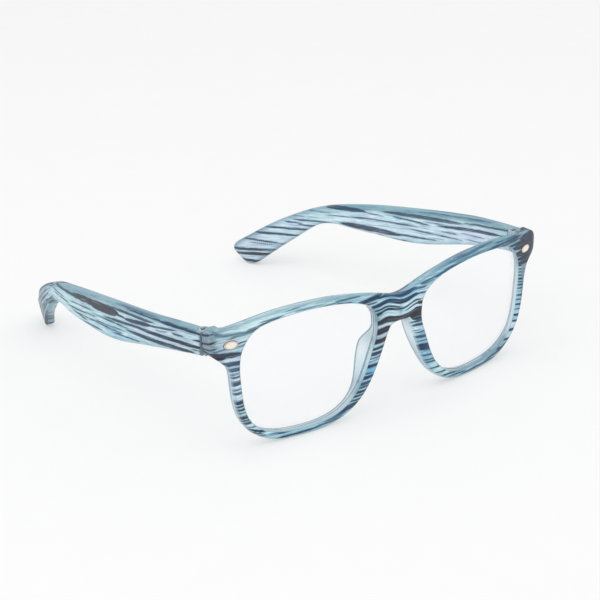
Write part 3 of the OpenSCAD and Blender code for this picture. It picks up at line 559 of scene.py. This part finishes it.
def bare_strip(grid, charcoal, teal, start=0):
    """A closed patch of bare plastic, with its grain along the depth from start on."""
    grain = np.stack([grid[..., 1] + start, grid[..., 2], np.full(grid.shape[:2], -1.0)], -1)
    tint = np.broadcast_to([0, charcoal, teal], grid.shape)
    return strip(grid, grain, np.zeros(grid.shape), tint, closed=True)


def knuckle(low, high, root, bores):
    """A knuckle as rings round its bore. Outside it is a half round of radius knuckle_r about the
    hinge's axis that runs on straight to root, with its rims rounded, and the bore's rings are
    circles: bores holds their (z, radius) from the top down."""
    t = np.linspace(0, math.pi, 25)
    way = np.sign(pivot[1] - root)
    side = np.linspace(0, 1, 7)[1:, None]

    def outside(inset, z):
        r = knuckle_r - inset
        bow = np.stack([r * np.cos(t), way * r * np.sin(t)], 1)
        feet = np.array([[-r, root - pivot[1]], [r, root - pivot[1]]])
        ends = ((bow[-1], feet[0]), (feet[0], feet[1]), (feet[1], bow[0]))
        ring = np.concatenate([bow, *(p * (1 - side) + q * side for p, q in ends)])[:-1]
        return np.concatenate([ring, np.full((len(ring), 1), z)], 1)

    def bore(z, r):
        ring = outside(0, z)
        angle = np.arctan2(ring[:, 1], ring[:, 0])
        return np.stack([r * np.cos(angle), r * np.sin(angle), ring[:, 2]], 1)

    rim = 0.18
    rings = [outside(rim, low), outside(rim * 0.3, low + rim * 0.3), outside(0, low + rim),
             outside(0, high - rim), outside(rim * 0.3, high - rim * 0.3), outside(rim, high)]
    rings += [bore(z, r) for z, r in bores] + [rings[0]]
    grid = np.stack(rings, 1) + [pivot[0], pivot[1], 0]
    return bare_strip(grid, 0.3, 0.8)


seat, head_bore, screw_bore = hinge_top - head_h, head_r + screw_fit, screw_r + screw_fit
upper_bore = [(hinge_top, head_r + 0.1), (hinge_top - 0.08, head_bore), (seat, head_bore),
              (seat, screw_bore), (hinge_top - ear_h, screw_bore)]
lower_bore = [(hinge_low + ear_h, screw_bore), (hinge_low, screw_bore)]
ears = [knuckle(hinge_top - ear_h, hinge_top, joint_y - ear_sunk, upper_bore),
        knuckle(hinge_low, hinge_low + ear_h, joint_y - ear_sunk, lower_bore)]

# The land, as rings with (share of its size, way in front of the joint)
land = b_rear - w * land_step
land = np.stack([on_front(land, 0)[:, 0], land[:, 1]], 1)
land_in = pivot[0] - knuckle_r
land = land[(land[:, 0] > land_in) & (land[:, 1] > lens_z)]
land = np.concatenate([[[land_in, land[0, 1]]], land, [[land_in, land[-1, 1]]]])
middle = land.mean(0)
share, before = np.array([(0, 3.4), (1, 3.4), (1, 0.15), (0.97, 0.04), (0.93, 0), (0, 0)]).T
flat = middle + (land - middle)[:, None] * share[:, None]
land_grid = np.stack([flat[..., 0], np.broadcast_to(joint_y - before, flat.shape[:2]), flat[..., 1]], -1)
# The land is darkened with charcoal and teal, painted shadow in the joint between end piece and temple
ears.append(bare_strip(land_grid, 0.5, 1, end_u))
left_ears = make_piece("left_hinge_ears", "front", ears)
right_ears = make_piece("right_hinge_ears", "front", mirrored(ears))
for piece in (left_ears, right_ears):
    piece.data.materials.append(plastic)

# Lenses
# Clear hard-coated demonstration lenses, ground with a bevelled edge that snaps into the groove.
# Their coating has a faint haze of smudges.
lens_t, lens_dome, lens_clear = 1.9, 0.8, 0.05
lens_mid = groove_lip + groove_w / 2
s_lens = np.linspace(0, turns, turns * 6 + 1)[:-1]
rim_a, rim_n = spline(inner_rows, s_lens)
rim_e = rim_a - rim_n * lens_clear
lens_middle = np.array([mid_u, lens_z])
bevel = groove_w - 4 * lens_clear


def lens_face(shares, depth):
    """Rings of the opening's outline drawn towards the lens's middle, domed forward by a parabola."""
    flat = lens_middle + (rim_e - lens_middle)[:, None] * shares[:, None]
    return on_front(flat, depth - lens_dome * (1 - shares ** 2))


shares = np.array([0, 0.12, 0.25, 0.4, 0.55, 0.7, 0.83, 0.93])
tip = rim_a + rim_n * (groove_d - 2 * lens_clear)
lens_edge = on_front(np.stack([rim_e, rim_e, tip, rim_e, rim_e], 1),
                     lens_mid + np.array([-lens_t, -bevel, 0, bevel, lens_t]) / 2)
lens_grid = np.concatenate([lens_face(shares, lens_mid - lens_t / 2), lens_edge,
                            lens_face(shares[::-1], lens_mid + lens_t / 2)], 1)
plain = np.zeros(lens_grid.shape)
lens_strip = strip(lens_grid, plain, plain, plain, closed=True)
left_clear = make_piece("left_lens_clear", "front", [lens_strip], sharp=30)
right_clear = make_piece("right_lens_clear", "front", mirrored([lens_strip]), sharp=30)
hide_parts("left_lens")
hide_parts("right_lens")


def spots(tree, scale):
    """Noise over the piece's own Object coordinates, scale spots to the metre."""
    return add(tree, "TexNoise", {"Vector": add(tree, "TexCoord")["Object"], "Scale": scale})[0]


def any_ray(tree, first, *others):
    """1 for a ray of any of the kinds named, else 0."""
    rays = add(tree, "LightPath")
    either = rays[first]
    for kind in others:
        either = add(tree, "Math", {0: either, 1: rays[kind]}, operation="MAXIMUM")[0]
    return either


def mix_surface(tree, share, shader, other):
    """Gives the material the surface of shader, and by share that of other."""
    mixed = add(tree, "MixShader", {0: share, 1: shader.outputs[0], 2: other[0]})
    tree.links.new(mixed[0], tree.nodes["Material Output"].inputs["Surface"])


# Light that only passes through on its way to another surface isn't bent, so the lens throws no shadow
clear, tree, shader = finish("clear_lens")
shader.inputs["Base Color"].default_value = (0.99, 0.995, 1.0, 1)
shader.inputs["IOR"].default_value = 1.5
shader.inputs["Transmission Weight"].default_value = 1.0
haze = add(tree, "MapRange", {"Value": spots(tree, 90.0), "From Min": 0.45, "From Max": 0.75, "To Max": 0.03})
tree.links.new(haze[0], shader.inputs["Roughness"])
mix_surface(tree, any_ray(tree, "Is Shadow Ray", "Is Diffuse Ray"), shader, add(tree, "BsdfTransparent"))
for piece in (left_clear, right_clear):
    piece.data.materials.append(clear)

# Oval plaques
# Stamped metal ovals with a domed face and a bright bevel, pressed into the end pieces by two pins.
# Each profile row is the share of the oval's size and the depth there.
plaque_u, plaque_v = end_u - 6.5, lens_z + end_mid - 0.7
plaque_half, plaque_proud, plaque_rise = np.array([2.4, 1.4]), 0.12, 0.45
around = np.linspace(0, 2 * math.pi, 73)[:-1]
share, depth = np.array([(0, -0.1), (0.3, -0.09), (0.55, -0.06), (0.78, -0.01), (0.84, 0.03), (0.93, 0.1),
                         (1, 0.24), (1, 1), (0, 1)]).T
oval = np.stack([np.cos(around), np.sin(around)], 1)[:, None]
plaque_grid = on_front(np.array([plaque_u, plaque_v]) + share[:, None] * plaque_half * oval,
                       depth - plaque_proud - plaque_rise)
plaque_share = np.broadcast_to(share, plaque_grid.shape[:2])
plaque_grain = np.stack([plaque_grid[..., 0] - plaque_u, plaque_grid[..., 2] - plaque_v, plaque_share], -1)
plain = np.zeros(plaque_grid.shape)
plaque_strip = strip(plaque_grid, plaque_grain, plain, plain, closed=True)
left_oval = make_piece("left_plaque_oval", "front", [plaque_strip], sharp=60)
right_oval = make_piece("right_plaque_oval", "front", mirrored([plaque_strip]), sharp=60)
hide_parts("left_plaque")
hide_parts("right_plaque")


def ramp(tree, value, stops):
    """Colours over value, blended between the stops, each a (position, colour)."""
    node = tree.nodes.new("ShaderNodeValToRGB")
    elements = node.color_ramp.elements
    elements[0].position, elements[1].position = stops[0][0], stops[-1][0]
    elements[0].color, elements[1].color = stops[0][1], stops[-1][1]
    for position, colour in stops[1:-1]:
        elements.new(position).color = colour
    tree.links.new(value, node.inputs[0])
    return node.outputs[0]


# The tone goes by the share of the oval's size, dark with painted shade where the face meets the bevel and at
# the rim
champagne, tree, shader = finish("champagne_metal")
shader.inputs["Metallic"].default_value = 1.0
place = add(tree, "Attribute", attribute_name="grain")["Vector"]
oval_tone = ramp(tree, add(tree, "SeparateXYZ", {0: place})[2], (
    (0.0, tone(250, 243, 232)), (0.74, tone(246, 238, 226)), (0.81, tone(150, 128, 108)),
    (0.87, tone(250, 244, 234)), (0.94, tone(176, 152, 128)), (1.0, tone(112, 92, 74))))
tree.links.new(oval_tone, shader.inputs["Base Color"])
worn = add(tree, "TexNoise", {"Vector": place, "Scale": 2.5})[0]
rubbed = add(tree, "MapRange", {"Value": worn, "To Min": 0.16, "To Max": 0.34})
tree.links.new(rubbed[0], shader.inputs["Roughness"])
for piece in (left_oval, right_oval):
    piece.data.materials.append(champagne)

# Temples
# Moulded arms of the same plastic, printed on both faces, broad behind the hinge and slim over the
# ear, with tips bent down and inwards. A knuckle in a pocket of the root turns on the screw.
temple_y, temple_l, slim_z = joint_y + 0.15, 131.7, -5.7
root_x, line_x = side_x - 2.35, side_x - 1.85
tip_r, tip_edge, temple_edge, tip_skew, skew_from, skew_run = 3.0, 0.9, 0.9, 4.4, 0.85, 0.15
face_crown, pocket_r, bow_run, across_steps, along_steps = 0.12, knuckle_r + 0.15, 0.06, 33, 260
# Each row: share of the length, then x and height of the middle, height and thickness of the
# section, and its twist in degrees
temple_rows = np.array([
    [0, root_x, 13.2, 7.9, 4.7, 0],
    [0.1, root_x + 0.6 * (line_x - root_x) + 0.98, 11.1, 9.0, 4.1, 0],
    [0.2, line_x + 1.4, 8.5, 10.35, 3.7, 0],
    [0.4, line_x - 0.4, 2.4, 12.8, 3.7, 0],
    [0.6, line_x - 3.3, -1.8, 10.02, 3.7, 0],
    [0.75, line_x - 7.2, slim_z, 6.4, 3.7, 0],
    [0.88, line_x - 12.4, slim_z - 10.44, 9.42, 3.7, 6],
    [1, line_x - 20.2, slim_z - 23.2, 11.7, 3.7, 11],
])


def temple_at(f):
    """Cubic Hermite curve through the rows at the shares f of the length, each row's slope being
    that between its neighbours."""
    at, most = np.arange(len(temple_rows)), len(temple_rows) - 1
    reach = temple_rows[np.minimum(at + 1, most)] - temple_rows[np.maximum(at - 1, 0)]
    slopes = reach / reach[:, :1]
    k = np.clip(np.searchsorted(temple_rows[:, 0], f, side="right") - 1, 0, most - 1)
    p, q = temple_rows[k], temple_rows[k + 1]
    h = (q[:, 0] - p[:, 0])[:, None]
    s = (f[:, None] - p[:, :1]) / h
    return ((2 * s ** 3 - 3 * s ** 2 + 1) * p + (s ** 3 - 2 * s ** 2 + s) * h * slopes[k]
            + (3 * s ** 2 - 2 * s ** 3) * q + (s ** 3 - s ** 2) * h * slopes[k + 1])


def temple_mid(f):
    """The middle line's points at the shares f of the length."""
    row = temple_at(f)
    return np.stack([row[:, 1], temple_y + f * temple_l, row[:, 2]], 1)


def unit(v):
    return v / np.linalg.norm(v, axis=-1, keepdims=True)


def temple_section(half_t, half, r):
    """Rounded oblongs with half sizes half_t and half and corner radius r, whose long faces swell by
    face_crown times 1 - (height share)^2. Returns x and height of each section's points."""
    corner, flat_face = np.linspace(0, quarter, 7), np.linspace(-1, 1, across_steps)[1:-1]
    x, z = [], []
    half_t, straight, r = half_t[:, None], (half - r)[:, None], r[:, None]
    for sx, sz in ((1, 1), (-1, 1), (-1, -1), (1, -1)):
        t = corner if sx == sz else corner[::-1]
        x.append(sx * (half_t - r * (1 - np.cos(t))))
        z.append(sz * (straight + r * np.sin(t)))
        if sx != sz:
            x.append(sx * (half_t + face_crown * (1 - flat_face ** 2)))
            z.append(-sz * straight * flat_face)
    return np.concatenate(x, 1), np.concatenate(z, 1)


def capped(grid):
    """A grid with its first column again at the end, and its first and last rows doubled."""
    grid = np.concatenate([grid, grid[:, :1]], 1)
    return np.concatenate([grid[:1], grid, grid[-1:]], 0)


# Stations along the temple: close together at the root and through the pocket, even beyond it, and
# close again round the tip, where both half sizes draw in
f_back = (pivot[1] + pocket_r - temple_y) / temple_l
f_pocket = (pivot[1] - temple_y + pocket_r * np.sin(np.linspace(0, quarter, 9))) / temple_l
tip_turn = np.linspace(0, quarter, 9)[1:]
f_all = np.concatenate([[0, 0.003, 0.008], f_pocket, [f_back + 1e-5],
                        np.linspace(f_back + 0.004, 1 - tip_r / temple_l, along_steps),
                        1 - tip_r / temple_l * (1 - np.sin(tip_turn))])
turn_all = np.concatenate([np.zeros(len(f_all) - len(tip_turn)), tip_turn])
row, arm_mid = temple_at(f_all), temple_mid(f_all)
ahead, behind = np.minimum(1, f_all + 0.004), np.maximum(0, f_all - 0.004)
straight_on = ease((f_all - f_back) / bow_run)[:, None]
direction = unit(temple_mid(ahead) - temple_mid(behind))
direction = unit(np.array([0, 1, 0]) * (1 - straight_on) + direction * straight_on)
outwards = unit(np.cross(direction, [0, 0, 1]))
rise = np.cross(outwards, direction)
twist = np.radians(row[:, 5])[:, None]
out_way = np.cos(twist) * outwards - np.sin(twist) * rise
up_way = np.cos(twist) * rise + np.sin(twist) * outwards
half_t = row[:, 4] / 2 - tip_edge * (1 - np.cos(turn_all))
half_up = row[:, 3] / 2 - tip_r * (1 - np.cos(turn_all))
sx, sz = temple_section(half_t, half_up, np.minimum(temple_edge, half_t - 0.1))
skew = tip_skew * np.maximum(0, (f_all - skew_from) / skew_run)[:, None] ** 2
arm = (arm_mid[:, None] + sx[..., None] * out_way[:, None] + sz[..., None] * up_way[:, None]
       + (skew * (0.5 + sz / row[:, 3:4]))[..., None] * direction[:, None])
# The pocket is round about the hinge's axis, cut into the root from inside
deep = np.sqrt(pocket_r ** 2 - np.clip(arm[..., 1] - pivot[1], 0, pocket_r) ** 2)
in_pocket = (f_all <= f_back + 1e-7)[:, None]
arm[..., 0] = np.where(in_pocket, np.maximum(arm[..., 0], pivot[0] + deep), arm[..., 0])
arm = capped(arm)
arm[0], arm[-1] = arm[0].mean(0), arm[-1].mean(0)

# The print's streaks on the outer face and on the inner one, as on the front
outer_streaks = [
    [7, 31, 18.5, 20, 1.03, 0.95], [27, 50, 20, 20.6, 0.54, 0.9], [7, 14.5, 16.5, 16.3, 0.65, 1],
    [18, 24, 16.8, 16.9, 0.54, 0.9], [21, 39, 18.1, 17.4, 0.65, 0.85], [34, 52, 17.6, 16.9, 1.51, 0.95],
    [32, 62, 18.8, 19.3, 0.97, 0.85], [55, 78, 17.7, 18, 3.24, 0.95], [58, 93, 18.3, 18.2, 2.38, 0.95],
    [51, 60, 17.3, 17.4, 0.86, 0.95], [78, 110, 17.5, 18.7, 0.97, 0.9], [6, 47, 14, 15.9, 1.24, 1],
    [36, 67, 15.8, 15.1, 0.86, 0.95], [7, 15.5, 13.2, 13.2, 0.49, 0.95], [13, 52, 12.2, 13.4, 1.3, 0.95],
    [42, 64, 10.9, 10.5, 0.54, 0.9], [49, 76, 13.9, 14.6, 0.59, 0.85], [51, 76, 12.5, 12.4, 0.49, 0.85],
    [54, 93, 11.3, 12.4, 0.49, 0.85], [67, 84, 9.5, 10.3, 0.54, 0.9], [74, 93, 15.4, 15.5, 0.54, 0.85],
    [73, 96, 13.6, 13.5, 0.54, 0.85], [80, 93, 11, 12.8, 0.54, 0.85], [94, 110, 14.3, 15.3, 0.43, 0.8],
    [98, 118, 15.4, 17.2, 0.49, 0.8], [109, 127, 12.3, 13.6, 0.54, 0.85], [110, 122, 11.5, 12.2, 0.86, 0.7],
    [108, 140, 17.4, 18.6, 0.65, 0.85], [114, 148, 16, 16.9, 0.49, 0.8], [118, 150, 14.8, 15.2, 0.65, 0.9],
    [112, 134, 13.2, 12.6, 0.54, 0.8], [124, 150, 13.4, 13.5, 0.49, 0.75], [120, 150, 12.3, 11.4, 0.65, 0.85],
    [126, 152, 10.8, 9.4, 0.54, 0.8], [128, 150, 17.8, 19.2, 0.54, 0.8], [130, 152, 15.9, 17.6, 0.43, 0.7],
    [132, 152, 12.4, 12.2, 0.43, 0.7], [126, 146, 9.6, 8.6, 0.86, 0.85], [26, 33, 16.9, 16.4, 0.38, 0.5],
    [18, 60, 20.9, 21, 0.76, 0.6],
]
inner_streaks = [
    [22, 62, 20.2, 20.4, 0.5, 0.5], [12, 38, 18.9, 18.3, 0.7, 0.85], [16, 52, 16.5, 16, 1.15, 0.95],
    [46, 58, 16.6, 16.9, 0.5, 0.7], [38, 80, 17.9, 19, 1.4, 0.85], [55, 74, 15.8, 17.5, 0.75, 0.75],
    [56, 95, 14.4, 15.8, 0.65, 0.85], [40, 66, 11.8, 13.4, 0.55, 0.75], [42, 50, 13.8, 13.9, 0.5, 0.5],
    [28, 38, 12.3, 12.4, 0.4, 0.5], [27, 40, 14, 14.4, 0.5, 0.4], [52, 86, 10.4, 11, 0.75, 0.9],
    [70, 102, 10.4, 12.7, 2, 1], [66, 81, 8.5, 8.5, 0.55, 0.7], [78, 97, 17, 18.5, 0.55, 0.8],
    [87, 109, 18.1, 18.9, 1.6, 0.95], [78, 106, 20.9, 19.3, 0.45, 0.8], [78, 108, 15.3, 15.4, 0.5, 0.8],
    [105, 118, 16.2, 17, 0.45, 0.5], [104, 124, 12.3, 12.8, 0.8, 0.8], [110, 124, 14.1, 14.3, 0.35, 0.45],
    [113, 122, 10.4, 10.8, 0.7, 0.85], [119, 128, 11.3, 11.9, 0.65, 0.85], [115, 138, 8.7, 9.4, 0.9, 0.9],
    [120, 144, 6.2, 7.2, 0.95, 0.95], [127, 149, 2.3, 4.9, 0.75, 0.9], [133, 144, 1.9, 3, 0.5, 0.5],
    [130, 156, -0.2, 0.5, 1, 0.95], [132, 156, -1.8, -1.4, 1, 1], [138, 152, -5, -3.6, 1.1, 0.95],
    [129, 150, -7.5, -6.5, 0.8, 0.9],
]
# Patches of blue, lilac, charcoal and teal, for each those of the outer face and of the inner one.
# The teal is partly the print's tone and partly painted shade along the top strip.
face_patches = (
    ([(60, 11, 16, 4, 0.5), (20, 21, 20, 2, 0.5), (90, 20, 20, 3, 0.5), (116, 13, 12, 6, 0.3)],
     [(62, 18, 14, 3, 0.2), (96, 19, 9, 3, 0.5), (75, 9, 14, 3, 0.1)]),
    ([(72, 18, 14, 2, 1), (24, 14, 22, 4, 0.9), (40, 17, 10, 1.5, 0.4), (118, 14, 14, 5, 0.4)],
     [(30, 16, 14, 4, 0.6), (90, 12, 16, 4, 0.6), (140, 0, 14, 9, 0.9), (122, 11, 8, 4, 0.7),
      (24, 12, 18, 3, 0.9), (60, 14, 40, 5, 0.4)]),
    ([(70, 18, 18, 2, 1), (20, 17, 20, 3, 0.6), (138, 14, 18, 10, 0.8), (10, 12, 14, 3, 0.6)],
     [(85, 11, 16, 2, 0.4), (98, 18.5, 12, 1.5, 0.3), (140, 0, 16, 9, 0.7)]),
    ([(20, 14, 12, 4, 0.3), (60, 14, 45, 7, 0.2), (142, 14, 22, 12, 0.9), (95, 20, 14, 3, 0.4)],
     [(96, 20, 16, 2, 0.5), (45, 20.9, 38, 1.8, 0.9), (60, 10, 14, 2, 0.15), (12, 14, 8, 6, 0.3),
      (142, 0, 14, 9, 0.25)]),
)
# The grain slopes down from the hinge. On the outer face it follows the tip's bend from bend_from on.
slope_a, bend_from, bend_run, straight_mid = math.radians(10.5), 0.7, 0.1, 14.8
inner_film_share = 0.95

is_outer = capped(sx) > 0
along, across = tilted(arm[..., 1], arm[..., 2], slope_a)
mid_across = tilted(arm_mid[:, 1], arm_mid[:, 2], slope_a)[1]
sag = ease((f_all - bend_from) / bend_run) * (mid_across - straight_mid)
across = across - np.where(is_outer, capped(sag[:, None])[:, :1], 0)

# Each face has its own stretch of noise. The root's end is darkened as painted shadow in the joint, and
# painted shade darkens the plastic along the upper and the lower edge.
drawn = np.where(is_outer[..., None], draw(along, across, outer_streaks), draw(along, across, inner_streaks))
blue, lilac, charcoal, teal = (np.where(is_outer, spread(along, across, outer), spread(along, across, inner))
                               for outer, inner in face_patches)
root = np.concatenate([[1, 1, 0.4], np.zeros(len(f_all) - 1)])[:, None]
arm_edge_shade = capped(0.9 * np.exp(-((half_up[:, None] - sz) / 1.5) ** 2)
                  + 0.6 * np.exp(-((half_up[:, None] + sz) / 0.9) ** 2))
arm_grain = np.stack([along + np.where(is_outer, 200, 400), across, drawn[..., 0]], -1)
arm_zone = np.clip(np.stack([blue, lilac, drawn[..., 1]], -1), 0, 1)
arm_tint = np.stack([np.where(is_outer, 1, inner_film_share), charcoal + root, teal + root + arm_edge_shade], -1)
tongue_low, tongue_top = pivot[2] - tongue_h / 2, pivot[2] + tongue_h / 2
tongue = knuckle(tongue_low, tongue_top, pivot[1] + pocket_r + ear_sunk,
                 [(tongue_top, screw_r + screw_run), (tongue_low, screw_r + screw_run)])
temple_strips = [strip(arm, arm_grain, arm_zone, np.clip(arm_tint, 0, 1)), tongue]
left_arm = make_piece("left_temple_arm_piece", "left_temple_arm", temple_strips)
right_arm = make_piece("right_temple_arm_piece", "right_temple_arm", mirrored(temple_strips))
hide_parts("left_temple")
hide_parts("right_temple")
for piece in (left_arm, right_arm):
    piece.data.materials.append(plastic)

# Hinge screws
# Turned steel screws with slotted heads, plated and a little worn. Each is driven from above through
# the upper ear and the temple's tongue into the lower ear.
plated, tree, shader = finish("plated_steel")
shader.inputs["Metallic"].default_value = 1.0
turned_marks = spots(tree, 2400.0)
plate = ramp(tree, turned_marks, ((0.35, tone(112, 122, 128)), (0.65, tone(168, 176, 178))))
tree.links.new(plate, shader.inputs["Base Color"])
rubbed = add(tree, "MapRange", {"Value": turned_marks, "To Min": 0.25, "To Max": 0.45})
tree.links.new(rubbed[0], shader.inputs["Roughness"])
for name in ("left_hinge_screw", "right_hinge_screw"):
    frame["nodes"][name].data.materials.clear()
    frame["nodes"][name].data.materials.append(plated)

# Floor and light
# A pale seamless table under a soft, even studio sky, with one large lamp above. What the camera,
# glass and metal see of the sky is a plain near white, and the table is lifted towards it by
# seen_share, which leaves a part of its shading, and so a soft shadow.
seen_share, seen_white, sky_level = 0.5, 0.91, 0.92
seen_rays = ("Is Camera Ray", "Is Glossy Ray", "Is Transmission Ray")
bpy.ops.mesh.primitive_plane_add(size=8, location=(0, 0, 0))
floor = bpy.context.object
floor.name = "studio_floor"
table, tree, shader = finish("pale_table")
shader.inputs["Roughness"].default_value = 0.9
shader.inputs["Specular IOR Level"].default_value = 0.1
paper = add(tree, "Mix", {0: spots(tree, 60.0), 6: (0.9, 0.9, 0.9, 1), 7: (0.93, 0.93, 0.93, 1)},
            data_type="RGBA")
tree.links.new(paper[2], shader.inputs["Base Color"])
white = add(tree, "Emission", {"Color": (seen_white, seen_white, seen_white, 1)})
seen = add(tree, "Math", {0: any_ray(tree, *seen_rays), 1: seen_share}, operation="MULTIPLY")[0]
mix_surface(tree, seen, shader, white)
floor.data.materials.append(table)

sky = bpy.data.worlds.new("studio_sky")
bpy.context.scene.world = sky
sky.use_nodes = True
tree, backdrop = sky.node_tree, sky.node_tree.nodes["Background"].inputs
backdrop["Color"].default_value = (1, 1, 1, 1)
level = add(tree, "MapRange", {"Value": any_ray(tree, *seen_rays), "To Min": sky_level, "To Max": seen_white})
tree.links.new(level[0], backdrop["Strength"])

lamp_data = bpy.data.lights.new("overhead_softbox", "AREA")
lamp_data.shape, lamp_data.size, lamp_data.energy = "SQUARE", 1.2, 4.2
lamp = bpy.data.objects.new("overhead_softbox", lamp_data)
lamp.location = (-0.4, -0.3, 1.05)
lamp.rotation_euler = (math.radians(15), math.radians(-21), 0)
bpy.context.scene.collection.objects.link(lamp)

# Camera
# Stands at the photograph's eye point, worked out from the outlines' perspective: yaw and pitch in
# the front's frame, then leaned with it.
focal_px, picture_px, sensor = 1724.1, 600.0, 36.0
eye = np.array([-331.744, -370.276, 234.344])
yaw, pitch = -0.666746, 0.418503
ahead = np.array([-math.sin(yaw) * math.cos(pitch), math.cos(yaw) * math.cos(pitch), -math.sin(pitch)])
to_right = np.array([math.cos(yaw), math.sin(yaw), 0])
eye_m = to_world(eye)
ahead_w = (to_world(eye + ahead) - eye_m) * 1000
right_w = (to_world(eye + to_right) - eye_m) * 1000
camera_data = bpy.data.cameras.new("photo_camera")
camera_data.sensor_width, camera_data.lens = sensor, focal_px / picture_px * sensor
camera_data.clip_start = 0.01
camera = bpy.data.objects.new("photo_camera", camera_data)
turned = np.eye(4)
turned[:3] = np.stack([right_w, np.cross(right_w, ahead_w), -ahead_w, eye_m], 1)
camera.matrix_world = Matrix(turned.tolist())
bpy.context.scene.collection.objects.link(camera)
bpy.context.scene.camera = camera
bpy.context.scene.view_settings.view_transform = "Standard"
